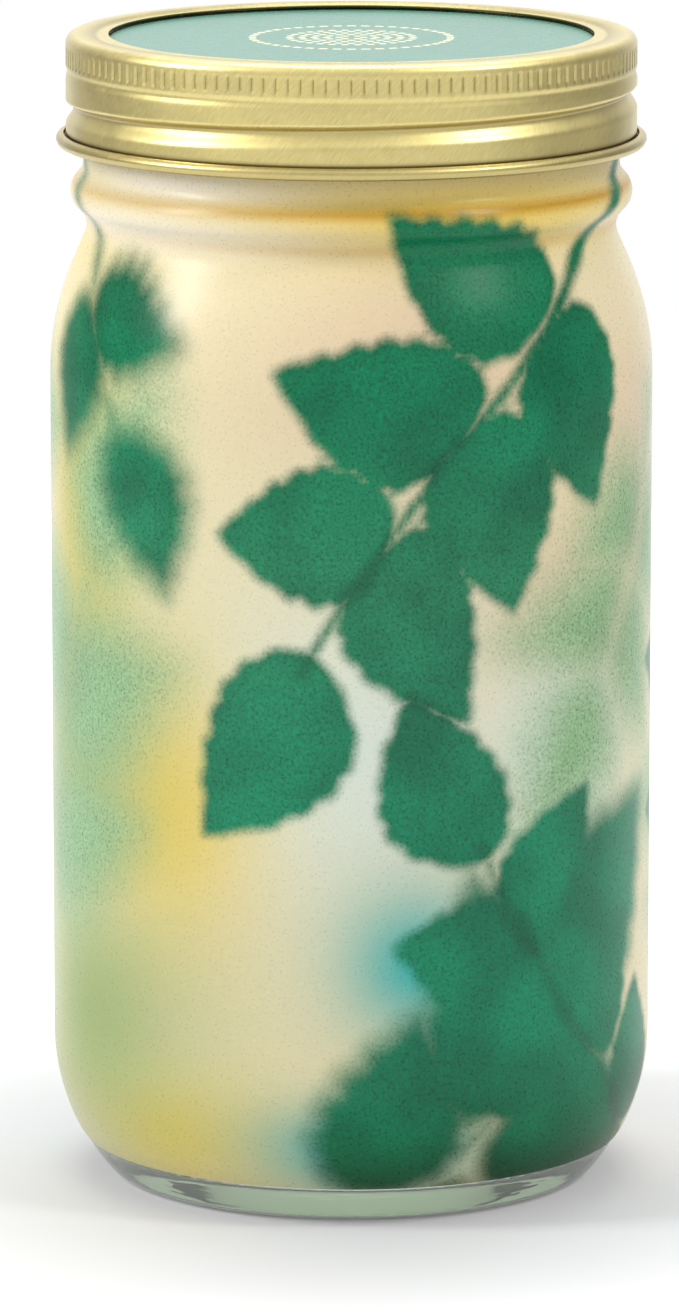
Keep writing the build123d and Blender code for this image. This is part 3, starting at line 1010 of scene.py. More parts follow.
@dataclass
class Sprig:
    """One printed sprig: a bent stem with pairs of scalloped leaves, in millimetres on the flat film."""

    layer: Layer
    base: Point
    tip: Point
    bend: float
    pairs: int
    leaf_length: float
    leaf_width: float
    spread: float
    lobes: int
    scallop: float
    first: float = 0.25
    stem: float = 3.0
    stem_taper: float = 0.3
    last_pair: float = 0.93
    tip_leaf: float = 0.94
    tip_bend: float = 0.3
    stalk: float = 0.06
    fullness: float = 0.85
    foot_shift: float = 0.8
    taper: float = 0.18
    pair_shrink: float = 0.35
    turn_jitter: float = 14.0
    turn_closing: float = 10.0
    length_jitter: float = 0.2
    leaf_sides: int = 26
    stem_sides: int = 14

    def stem_point(self, share: float) -> tuple[np.ndarray, np.ndarray]:
        """Place and direction at a share of the stem.

        Args:
            share: 0 at the base, 1 at the tip.

        Returns:
            The point and the unit direction.
        """
        start, end = np.array(self.base), np.array(self.tip)
        side = np.array([start[1] - end[1], end[0] - start[0]])
        middle = (start + end) / 2 + side * self.bend
        point = start * (1 - share) ** 2 + middle * 2 * share * (1 - share) + end * share**2
        heading = (middle - start) * (1 - share) + (end - middle) * share
        return point, heading / np.linalg.norm(heading)

    def leaf(
        self, foot: np.ndarray, heading: np.ndarray, length: float, width: float, bend: float
    ) -> np.ndarray:
        """Outline of one leaf: an oval, widest below its middle, with a scalloped edge.

        Args:
            foot: Where the leaf leaves the stem.
            heading: Its unit direction.
            length: Its length.
            width: Its width.
            bend: How far its midrib bends sideways.

        Returns:
            Corners of the outline.
        """
        side = np.array([-heading[1], heading[0]])
        share = np.linspace(0, 1, self.leaf_sides + 1)
        rib = np.outer(share, heading) * length + np.outer(bend * length * (share - share**2), side)
        oval = np.sin(math.pi * share**self.foot_shift).clip(0) ** self.fullness
        oval *= 1 - self.taper * share
        tooth = (np.abs(np.sin(math.pi * self.lobes * share)) - 0.5) * self.scallop
        tooth *= np.clip(2 * oval, 0, 1)
        half = np.maximum(width / 2 * oval + tooth, 0.02)[:, None]
        return foot + np.concatenate([rib + side * half, (rib - side * half)[-2:0:-1]])

    def outlines(self) -> list[tuple[np.ndarray, int]]:
        """Works out the stem and every leaf.

        Returns:
            Corners of each outline, and the ply that it is printed in.
        """
        shares = np.linspace(0, 1, self.stem_sides + 1)
        middles, ways = (np.array(rows) for rows in zip(*map(self.stem_point, shares)))
        halves = self.stem * (0.5 - self.stem_taper * shares)
        sides = np.column_stack([-ways[:, 1], ways[:, 0]]) * halves[:, None]
        found = [(np.concatenate([middles + sides, (middles - sides)[::-1]]), 0)]
        number = 0
        for pair in range(self.pairs):
            share = self.first + (self.last_pair - self.first) * pair / self.pairs
            point, way = self.stem_point(share)
            size = 1 - self.pair_shrink * abs(share - 0.5)
            for side in (-1, 1):
                number += 1
                # A set irregularity for each leaf, between 0 and 1.
                chance = (math.sin(number * 12.9898 + self.base[0]) * 43758.5453) % 1.0
                spread = self.spread + self.turn_jitter * (chance - 0.5) - self.turn_closing * share
                turn = math.radians(spread) * side
                heading = np.array([
                    way[0] * math.cos(turn) - way[1] * math.sin(turn),
                    way[0] * math.sin(turn) + way[1] * math.cos(turn),
                ])
                length = self.leaf_length * size * (1 + self.length_jitter * (chance - 0.5))
                foot = point + heading * length * self.stalk
                bend = -0.5 * side * (0.5 + chance)
                found.append((self.leaf(foot, heading, length, self.leaf_width * size, bend), number % 2))
        point, way = self.stem_point(self.tip_leaf)
        foot = point + way * self.leaf_length * self.stalk
        last = self.leaf(foot, way, self.leaf_length, self.leaf_width, self.tip_bend)
        found.append((last, (number + 1) % 2))
        return found


@dataclass
class Jar:
    """The blown glass jar, with its screw thread and bearing ring. Sizes in millimetres."""

    lip_height: float = 175.55
    body_radius: float = 46.1
    wall: float = 3.0
    heel_height: float = 22.5
    heel_round: float = 33.0
    foot_round: float = 4.0
    ring_width: float = 3.2
    punt_depth: float = 3.0
    punt_run: float = 5.0
    punt_shoulder: float = 0.72
    inside_corner: float = 7.0
    notch_count: int = 72
    notch_depth: float = 0.45
    notch_share: float = 0.28
    notch_inset: float = 0.3
    neck_radius: float = 40.9
    bore_radius: float = 38.0
    lip_bevel: float = 1.1
    lip_softening: Point = (0.3, 0.35)
    groove_inset: float = 1.3
    bead_overhang: float = 3.1
    drops: tuple[float, float, float, float] = (40.9, 25.9, 21.9, 18.3)
    outer_shares: tuple[float, float, float, float] = (0.53, 0.469, 0.594, 0.117)
    inner_shares: tuple[float, float] = (0.13, 0.62)
    lead: float = 5.08
    thread_front: float = 169.87
    thread_height: float = 1.9
    thread_crest: float = 0.9
    thread_root: float = 3.0
    thread_turn: float = 330.0
    thread_fade: float = 42.0
    thread_lead_in: float = 5.0
    thread_start: float = 158.0
    thread_end: float = 0.9
    outline_pitch: float = 1.6
    inside_pitch: float = 3.0
    ring_pitch: float = 0.4
    thread_pitch: float = 0.42
    steps: int = 288
    wedges: int = 24

    def outer_line(self, pitch: float) -> list[Point]:
        """Outside of the glass from the lip's foot down to the bearing ring.

        Args:
            pitch: Largest distance between points.

        Returns:
            Radius and height of each point.
        """
        corners = [
            (self.body_radius, self.heel_height),
            (self.body_radius, self.lip_height - self.drops[0]),
            (self.neck_radius - self.groove_inset, self.lip_height - self.drops[1]),
            (self.neck_radius + self.bead_overhang, self.lip_height - self.drops[2]),
            (self.neck_radius, self.lip_height - self.drops[3]),
            (self.neck_radius, self.lip_height - self.lip_bevel),
        ]
        whole = corners[:-1] + [(self.neck_radius, self.lip_height)]
        wall = rounded(corners, corner_rounds(whole, list(self.outer_shares)), pitch)
        sine = (self.heel_height - self.foot_round) / (self.heel_round - self.foot_round)
        low = math.degrees(math.asin(sine))
        centre = (self.body_radius - self.heel_round, self.heel_height)
        heel = arc(centre, self.heel_round, 0.0, -low, max(4, round(30 / pitch)))
        joint = heel[-1]
        foot_centre = (
            joint[0] - self.foot_round * math.cos(math.radians(low)),
            joint[1] + self.foot_round * sine,
        )
        foot = arc(foot_centre, self.foot_round, -low, low - 90.0, 8)
        return list(reversed(wall)) + heel[1:] + foot[1:]

    def outline(self) -> list[Point]:
        """Whole outline of the glass, from the floor's centre round to the punt's centre.

        Returns:
            Radius and height of each point.
        """
        slope_run = self.body_radius - (self.neck_radius - self.groove_inset)
        slope_climb = self.drops[0] - self.drops[1]
        run = self.wall * math.hypot(slope_run, slope_climb) / slope_climb
        shoulder = self.lip_height - self.drops[0]
        slope = slope_run / slope_climb
        inner = self.body_radius - self.wall
        floor = self.punt_depth + self.wall
        corners = [
            (self.bore_radius, self.lip_height - self.lip_bevel),
            (self.bore_radius, shoulder + (self.body_radius - self.bore_radius - run) / slope),
            (inner, shoulder + (self.body_radius - inner - run) / slope),
            (inner, floor + self.inside_corner),
        ]
        radii = corner_rounds(corners, list(self.inner_shares))
        inside = rounded(corners, radii, self.inside_pitch)
        centre = (inner - self.inside_corner, floor + self.inside_corner)
        base = arc(centre, self.inside_corner, 0.0, -90.0, 6)
        inside += base[1:] + [(inner - 2 * self.inside_corner, floor), (inner / 3, floor), (0.0, floor)]
        outside = self.outer_line(self.outline_pitch)
        below = [point for point in outside if point[1] < self.thread_start]
        neck_ends = [
            (self.neck_radius, self.lip_height - self.lip_bevel),
            (self.neck_radius, self.thread_start),
        ]
        neck = spaced(neck_ends, self.thread_pitch)
        landing = outside[-1]
        ring_inner = landing[0] - self.ring_width
        ring = spaced([landing, (ring_inner, 0.0)], self.ring_pitch)
        punt = [
            (ring_inner - self.punt_run / 2, self.punt_depth * self.punt_shoulder),
            (ring_inner - self.punt_run, self.punt_depth),
        ]
        inset, drop = self.lip_softening
        lip = [
            (self.neck_radius - inset, self.lip_height - drop),
            (self.neck_radius - self.lip_bevel, self.lip_height),
            (self.bore_radius + self.lip_bevel, self.lip_height),
            (self.bore_radius + inset, self.lip_height - drop),
        ]
        out = list(reversed(inside)) + list(reversed(lip)) + neck + below + ring[1:] + punt
        return out + [(ring_inner / 3, self.punt_depth), (0.0, self.punt_depth)]

    def thread_rise(self, points: np.ndarray) -> np.ndarray:
        """How far the screw thread stands out at each point of the neck.

        Args:
            points: Points in millimetres.

        Returns:
            The rise in millimetres.
        """
        _, turn, height = polar(points)
        flank = (self.thread_root - self.thread_crest) / 2
        end = self.thread_turn / 2
        rise = np.zeros(len(points))
        for lap in LAPS:
            angle = turn + lap
            away = np.abs(height - self.thread_front - self.lead * angle / 360.0)
            shape = np.clip(1 - (away - self.thread_crest / 2) / flank, 0, 1)
            fade = 1 - smoothstep(np.abs(angle), end - self.thread_lead_in, end + self.thread_fade)
            rise = np.maximum(rise, self.thread_height * shape * fade)
        return rise

    def make_glass(self) -> bpy.types.Object:
        """Spins the glass, then moves thread and notches by vertex, which no turning can give.

        Returns:
            The glass piece.
        """
        piece = turned_piece("jar_glass", self.outline(), self.steps, self.wedges)
        points = read_points(piece)
        radius, turn, height = polar(points)
        neck = (radius > self.neck_radius - NEAR) & (height > self.thread_start + 0.5)
        neck &= height < self.lip_height - self.thread_end
        push_out(points, self.thread_rise(points) * neck)
        landing = self.outer_line(self.outline_pitch)[-1][0]
        middle = landing - self.ring_width / 2
        on_ring = (height < NEAR) & (np.abs(radius - middle) < self.ring_width / 2 - self.notch_inset)
        notch = np.clip(1 - from_groove(turn, self.notch_count) / self.notch_share, 0, 1)
        points[:, 2] += on_ring * self.notch_depth * notch
        write_points(piece, points)
        settle(piece, 50)
        return piece

    def build(self) -> None:
        """Makes and dresses the glass."""
        dress(self.make_glass(), BlownGlass().make(), "clear_glass", "jar", "glass_jar")


@dataclass
class FilmSleeve:
    """The printed film that is shrunk on the jar, with its leaves and washes. Sizes in millimetres."""

    jar: Jar
    gap: float = 0.1
    thickness: float = 0.18
    edge: float = 0.04
    bottom: float = 6.2
    top: float = 161.2
    fine_from: float = 140.0
    fine_pitch: float = 0.75
    outer_pitch: float = 1.4
    inner_pitch: float = 3.0
    inner_fine_pitch: float = 1.25
    steps: int = 480
    wedges: int = 24
    reach: float = 14.0
    # Amber lines of painted shade round the bead, one above it and one in the groove under it: height, half
    # width and strength.
    lines: tuple[tuple[float, float, float], ...] = ((155.5, 0.85, 1.0), (149.8, 0.8, 0.45))
    line_middle: float = 30.0
    line_reach: float = 60.0
    line_least: float = 0.3
    sprigs: tuple[Sprig, ...] = (
        Sprig(Layer.NEAR, (69, 163), (-8, 86), -0.14, 3, 34, 25, 58, 7, 1.1, 0.32, 3.2),
        Sprig(Layer.NEAR, (73, -2), (20, 60), 0.16, 3, 30, 22, 52, 7, 1.0, 0.2),
        Sprig(Layer.MIDDLE, (-10, 0), (36, 32), -0.2, 2, 40, 30, 56, 6, 1.2, 0.15),
        Sprig(Layer.MIDDLE, (-69, 163), (-40, 120), 0.1, 1, 27, 19, 48, 6, 1.0, 0.5, 2.6),
        Sprig(Layer.FAR, (-70, 26), (-46, 100), 0.1, 2, 36, 26, 55, 6, 1.0),
        Sprig(Layer.FAR, (64, 124), (44, 84), 0.1, 2, 30, 22, 50, 6, 1.0),
        Sprig(Layer.NEAR, (119, -4), (88, 96), 0.12, 3, 33, 24, 54, 7, 1.1, 0.3, 3.2),
        Sprig(Layer.MIDDLE, (138, 168), (104, 122), -0.1, 2, 30, 21, 50, 6, 1.0, 0.3),
        Sprig(Layer.FAR, (100, 26), (84, 64), 0.1, 2, 34, 24, 50, 6, 1.0),
        Sprig(Layer.NEAR, (-145, 166), (-112, 86), 0.14, 3, 31, 23, 54, 7, 1.1, 0.3, 3.2),
        Sprig(Layer.MIDDLE, (153, -4), (134, 60), -0.14, 3, 34, 25, 54, 6, 1.1, 0.2),
        Sprig(Layer.MIDDLE, (-119, -4), (-96, 44), 0.16, 2, 36, 26, 54, 6, 1.1, 0.2),
        Sprig(Layer.FAR, (-150, 40), (-140, 96), 0.1, 2, 34, 24, 50, 6, 1.0),
        Sprig(Layer.FAR, (-92, 140), (-84, 104), 0.1, 1, 34, 24, 50, 6, 1.0),
    )
    # Each wash: place round the film, height, half width and half height.
    washes: tuple[tuple[Wash, float, float, float, float], ...] = (
        (Wash.PEACH, 12, 134, 28, 16), (Wash.PEACH, 54, 116, 18, 22), (Wash.PEACH, 34, 96, 14, 12),
        (Wash.PEACH, -120, 60, 24, 20), (Wash.PEACH, 150, 110, 26, 24),
        (Wash.MINT, 0, 74, 24, 26), (Wash.MINT, 34, 72, 18, 18), (Wash.MINT, 96, 112, 30, 24),
        (Wash.MINT, -86, 78, 18, 30), (Wash.MINT, 170, 60, 20, 30),
        (Wash.SUN, -50, 106, 12, 30), (Wash.SUN, -30, 64, 16, 22), (Wash.SUN, -30, 14, 18, 10),
        (Wash.SUN, 18, 155, 40, 7), (Wash.SUN, 112, 70, 18, 24),
        (Wash.SUN, -130, 24, 22, 16), (Wash.SUN, -100, 150, 40, 9),
        (Wash.OLIVE, -52, 68, 22, 34), (Wash.OLIVE, -48, 30, 26, 24), (Wash.OLIVE, 124, 30, 22, 26),
        (Wash.OLIVE, -104, 118, 22, 20), (Wash.OLIVE, 160, 140, 26, 14),
        (Wash.TEAL, 2, 13, 17, 8), (Wash.TEAL, 44, 14, 12, 8), (Wash.TEAL, 10, 42, 12, 12),
        (Wash.TEAL, -90, 14, 16, 9), (Wash.TEAL, 128, 12, 14, 8),
        (Wash.CREAM, -40, 151, 34, 3.0), (Wash.CREAM, -34, 158.5, 20, 1.8),
    )

    def cut(self, line: list[Point], pitch: float, fine_pitch: float) -> list[Point]:
        """Keeps the film's own heights of a line and spaces its points, closer on the neck.

        Args:
            line: Points from top to bottom.
            pitch: Distance between points on the body.
            fine_pitch: Distance between points on the neck.

        Returns:
            The cut line.
        """
        radii, heights = np.array(line).T
        lengths = np.concatenate([[0], np.cumsum(np.hypot(np.diff(radii), np.diff(heights)))])
        levels = (self.top, self.fine_from, self.bottom)
        top, middle, low = (np.interp(-level, -heights, lengths) for level in levels)
        upper = np.linspace(top, middle, max(2, round((middle - top) / fine_pitch)))
        lower = np.linspace(middle, low, max(2, round((low - middle) / pitch)))
        stops = np.concatenate([upper, lower[1:]])
        cut_radii, cut_heights = (np.interp(stops, lengths, values) for values in (radii, heights))
        return list(zip(cut_radii.tolist(), cut_heights.tolist()))

    def print_leaves(self, piece: bpy.types.Object, u: np.ndarray, v: np.ndarray, girth: float) -> None:
        """Stores how far each vertex is from the leaves of each layer and ply.

        Args:
            piece: The film.
            u: Millimetres round the film from its front.
            v: Height in millimetres.
            girth: Length once round the film.
        """
        for layer in Layer:
            plies = [np.full(len(u), self.reach), np.full(len(u), self.reach)]
            for sprig in self.sprigs:
                if sprig.layer is not layer:
                    continue
                for corners, ply in sprig.outlines():
                    middle = corners[:, 0].mean()
                    near_u = nearer_way(u - middle, girth) + middle
                    low, high = corners.min(axis=0) - self.reach, corners.max(axis=0) + self.reach
                    near = (near_u > low[0]) & (near_u < high[0]) & (v > low[1]) & (v < high[1])
                    distance = polygon_distance(near_u[near], v[near], corners)
                    plies[ply][near] = np.minimum(plies[ply][near], distance)
            for ply, distance in enumerate(plies):
                store_values(piece, f"{layer.value}_{ply}", distance)

    def print_washes(self, piece: bpy.types.Object, u: np.ndarray, v: np.ndarray, girth: float) -> None:
        """Stores the share of each soft wash, and of the amber lines of painted shade round the bead, on
        each vertex.

        Args:
            piece: The film.
            u: Millimetres round the film from its front.
            v: Height in millimetres.
            girth: Length once round the film.
        """
        for wash in Wash:
            share = np.zeros(len(u))
            for kind, middle, height, wide, tall in self.washes:
                if kind is wash:
                    away = nearer_way(u - middle, girth)
                    share = np.maximum(share, bell(away, wide) * bell(v - height, tall))
            # Painted shade: amber lines round the bead.
            if wash is Wash.BEAD_SHADE:
                for height, half, strength in self.lines:
                    fade = bell(u - self.line_middle, self.line_reach)
                    fade = self.line_least + (1 - self.line_least) * fade
                    share = np.maximum(share, strength * fade * bell(v - height, half))
            store_values(piece, wash.value, share)

    def make_film(self) -> bpy.types.Object:
        """Spins the film and stores its print on its vertices.

        Returns:
            The film piece.
        """
        line = [point for point in self.jar.outer_line(0.5) if self.bottom - 2 < point[1] < self.top + 2]
        outer = self.cut(beside(line, self.gap + self.thickness), self.outer_pitch, self.fine_pitch)
        inner = self.cut(beside(line, self.gap), self.inner_pitch, self.inner_fine_pitch)
        # The cut edge lies close on the glass, so it draws no bright line.
        outer[-1] = (inner[-1][0] + self.edge, outer[-1][1])
        loop = outer + list(reversed(inner)) + outer[:1]
        piece = turned_piece("film_print", loop, self.steps, self.wedges)
        settle(piece, 40)
        points = read_points(piece)
        girth = 2 * math.pi * self.jar.body_radius
        u = np.arctan2(points[:, 0], -points[:, 1]) * self.jar.body_radius
        self.print_leaves(piece, u, points[:, 2], girth)
        self.print_washes(piece, u, points[:, 2], girth)
        radii, heights = np.array(beside(line, self.gap + self.edge / 2)).T
        limit = np.interp(-points[:, 2], -heights, radii)
        store_values(piece, "inside", (np.hypot(points[:, 0], points[:, 1]) < limit).astype(float))
        return piece

    def build(self) -> None:
        """Makes and dresses the film."""
        dress(self.make_film(), PrintedFilm().make(), "printed_film", "jar", "film_sleeve")


@dataclass
class ScrewLid:
    """The rolled screw band with the enamelled disc and its seal. Sizes in millimetres."""

    top: float = 178.0
    height: float = 17.1
    wall_radius: float = 43.78
    sheet: float = 0.4
    bore_radius: float = 37.2
    bead_radius: float = 39.5
    bead_run: float = 0.35
    step: float = 0.15
    flange_dip: float = 0.2
    flange_lip: float = 0.6
    dip_inset: float = 0.8
    top_round: float = 1.5
    knurl_count: int = 144
    knurl_samples: int = 6
    knurl_top: float = 1.55
    knurl_bottom: float = 4.75
    knurl_depth: float = 0.27
    knurl_fade: float = 0.5
    flute_share: float = 0.17
    land_crown: float = 0.36
    knurl_pitch: float = 0.36
    wall_pitch: float = 0.34
    inside_pitch: float = 0.75
    waist_drop: float = 5.7
    waist_depth: float = 0.22
    waist_half: float = 0.6
    curl_bore: float = 0.55
    curl_turn: float = 280.0
    crease_depth: float = 0.1
    crease_half: float = 0.16
    lead: float = 5.08
    groove_front: float = 167.8
    groove_depth: float = 1.2
    groove_turn: float = 315.0
    groove_fade: float = 22.0
    groove_lead_in: float = 8.0
    # A crisp upper edge and a long soft lower slope.
    groove_upper: Point = (0.35, 1.25)
    groove_lower: Point = (-2.4, 0.1)
    # Shares of painted shade: in the rolled groove, the flutes, the joint above the curl, the flange's
    # ring, on the curl and under it.
    dark_groove: float = 0.65
    dark_flute: float = 0.2
    dark_joint: float = 0.95
    dark_ring: float = 0.45
    dark_curl: float = 0.3
    dark_under: float = 0.75
    wedges: int = 36

    def outline(self) -> list[Point]:
        """Closed outline of the band's sheet.

        Returns:
            Radius and height of each point, the first one again at the end.
        """
        low = self.top - self.height
        flange = self.top - self.step
        step = self.bead_run / 2
        round_centre = (self.wall_radius - self.top_round, self.top - self.top_round)
        # The flange dips slightly between its bore and the bead, which gives it two bright rings.
        dip = (self.bead_radius - self.dip_inset, flange - self.flange_dip)
        outer = [(self.bore_radius, flange), (self.bore_radius + self.flange_lip, flange), dip]
        outer += [(self.bead_radius - step, flange - self.flange_dip / 2)]
        outer += [(self.bead_radius + step, self.top)]
        outer += arc(round_centre, self.top_round, 90.0, -90.0, 6)
        below_knurls = (self.wall_radius, self.top - self.knurl_bottom - self.knurl_fade / 2)
        outer += spaced([outer[-1], below_knurls], self.knurl_pitch)[1:]
        outer += spaced([outer[-1], (self.wall_radius, low + 2.0)], self.wall_pitch)[1:]
        centre = (self.wall_radius + self.curl_bore, low + self.curl_bore + self.sheet)
        bore = arc(centre, self.curl_bore, 180.0, self.curl_turn, 10)
        back = arc(centre, self.curl_bore + self.sheet, 180.0, self.curl_turn, 16)
        inner_wall = self.wall_radius - self.sheet
        inner_top = self.top - self.sheet
        inner = spaced([back[0], (inner_wall, self.top - self.waist_drop)], self.inside_pitch)[1:]
        inner += [(inner_wall, self.top - self.top_round)]
        inner += arc(round_centre, self.top_round - self.sheet, 0.0, 90.0, 3)[1:]
        inner += [(self.bead_radius + step, inner_top), (self.bead_radius - step, flange - self.sheet)]
        # The flange's bore edge leans under, so that it stays dark above the disc.
        inner += [(self.bore_radius + 0.3, flange - self.sheet), (self.bore_radius + 0.03, flange - 0.1)]
        return outer + bore + list(reversed(back)) + inner + outer[:1]

    def knurl_band(self, height: np.ndarray) -> np.ndarray:
        """1 on the knurled band, falling to 0 at its lower and upper edges."""
        low, high = self.top - self.knurl_bottom, self.top - self.knurl_top
        upper = 1 - smoothstep(height, high - self.knurl_fade, high)
        return smoothstep(height, low, low + self.knurl_fade) * upper

    def flutes(self, turn: np.ndarray) -> np.ndarray:
        """1 at the bottom of a knurl's flute, 0 on the land between two."""
        return np.clip(1 - from_groove(turn, self.knurl_count) / self.flute_share, 0, 1)

    def groove_place(self, turn: np.ndarray, height: np.ndarray) -> tuple[np.ndarray, np.ndarray]:
        """Places points against the rolled groove.

        Args:
            turn: Degrees round from the front, with any whole laps.
            height: Height of each point.

        Returns:
            How far each point is above the groove's line, and how strong the groove is there.
        """
        half = self.groove_turn / 2
        fade = 1 - smoothstep(np.abs(turn), half - self.groove_lead_in, half + self.groove_fade)
        return height - self.groove_front - self.lead * turn / 360.0, fade

    def press_in(self, points: np.ndarray) -> np.ndarray:
        """How far waist, rolled groove, knurls and the curl's crease are pressed in at each point.

        Args:
            points: Points in millimetres.

        Returns:
            The depth in millimetres.
        """
        radius, turn, height = polar(points)
        on_wall = radius > self.wall_radius - self.sheet - NEAR
        above_curl = height > self.top - self.height + 2 * self.curl_bore
        depth = np.zeros(len(points))
        for lap in LAPS:
            above, fade = self.groove_place(turn + lap, height)
            shape = (1 - smoothstep(above, *self.groove_upper)) * smoothstep(above, *self.groove_lower)
            depth = np.maximum(depth, self.groove_depth * shape * fade)
        waist = self.top - self.waist_drop
        depth = np.maximum(depth, self.waist_depth * bell(height - waist, self.waist_half))
        depth = depth * on_wall * above_curl
        # Narrow flutes between lands that are slightly crowned.
        knurl = self.flutes(turn) + self.land_crown * from_groove(turn, self.knurl_count)
        knurl *= self.knurl_band(height) * (radius > self.wall_radius - NEAR)
        crease_height = self.top - self.height + self.sheet + 0.35 * self.curl_bore
        crease = bell(height - crease_height, self.crease_half)
        crease *= radius > self.wall_radius + self.curl_bore
        return depth + self.knurl_depth * knurl + self.crease_depth * crease

    def painted_shade(self, points: np.ndarray) -> np.ndarray:
        """How much painted shade lies in the groove, the flutes, the joint above the curl, the flange's
        ring, on the curl and under it.

        Args:
            points: Points in millimetres, before anything is pressed in.

        Returns:
            One share for each point.
        """
        radius, turn, height = polar(points)
        low = self.top - self.height
        above, fade = self.groove_place(turn, height)
        groove = self.dark_groove * fade * bell(above - 0.55, 0.42)
        flute = self.dark_flute * self.knurl_band(height) * self.flutes(turn)
        joint_height = low + 2 * (self.curl_bore + self.sheet) + 0.1
        joint = self.dark_joint * bell(height - joint_height, 0.28)
        joint *= np.abs(radius - self.wall_radius) < NEAR
        ring = self.dark_ring * bell(radius - self.bead_radius, 0.4) * (height > self.top - 0.5)
        curl = self.dark_curl * smoothstep(radius, self.wall_radius + 0.1, self.wall_radius + 0.5)
        under = self.dark_under * (1 - smoothstep(height, low, low + self.curl_bore))
        marks = np.maximum(groove, flute) * (radius > self.wall_radius - NEAR)
        return np.maximum.reduce([marks, joint, under, ring, curl])

    def make_band(self) -> bpy.types.Object:
        """Spins the band's sheet, then presses knurls and groove by vertex, which no turning can give.

        Returns:
            The band piece.
        """
        steps = self.knurl_count * self.knurl_samples
        piece = turned_piece("band_brass", self.outline(), steps, self.wedges)
        points = read_points(piece)
        # Painted shade for the band's groove, flutes, joint, flange ring and curl, stored as the crease
        # share.
        store_values(piece, "crease", self.painted_shade(points))
        push_out(points, -self.press_in(points))
        write_points(piece, points)
        settle(piece, 62)
        return piece

    def build(self) -> None:
        """Makes and dresses the band, and dresses the disc and its seal."""
        dress(self.make_band(), BrushedBrass().make(), "brass_band", "band", "screw_band")
        dress_node("lid_disc", EnamelledTin().make())
        dress_node("lid_gasket", GASKET_RUBBER.make())
@dataclass
class Wick:
    """Felt strip that hangs from the grow medium into the water. Sizes in millimetres."""

    width: float = 15.0
    thickness: float = 2.7
    bottom: float = 10.0
    top: float = 135.05
    held_from: float = 112.0
    sway: float = 1.1
    pitch: float = 0.9
    fuzz: float = 0.14

    def sideways(self, height: float) -> float:
        """How far the free part of the strip waves out at a height."""
        free = min(1.0, (self.held_from - height) / 30.0) if height < self.held_from else 0.0
        return self.sway * free * math.sin((self.held_from - height) / 14.0)

    def build(self) -> bpy.types.Object:
        """Draws the strip, thickens it and roughs its faces.

        Returns:
            The finished strip.
        """
        steps = math.ceil((self.top - self.bottom) / self.pitch)
        rows = math.ceil(self.width / self.pitch)
        heights = [self.bottom + (self.top - self.bottom) * step / steps for step in range(steps + 1)]
        line = [Vector((self.sideways(height), -self.width / 2, height)) for height in heights]
        strip = drawn_line("felt_wick_strip", line)
        extrude_rows(rows, (0, self.width / rows * MM, 0))
        settle(strip, 180)
        finish_modifier(strip, "SOLIDIFY", thickness=self.thickness * MM, offset=0.0)
        points = read_points(strip)
        side = np.sign(points[:, 0] - np.array([self.sideways(h) for h in points[:, 2]]))
        points[:, 0] += side * self.fuzz * rough_field(points * (1.0, 1.0, 0.35), 0.8, 3.0)
        points[:, 1] *= 1 - 0.012 * np.abs(rough_field(points, 2.5, 9.0))
        write_points(strip, points)
        settle(strip, 50)
        return strip


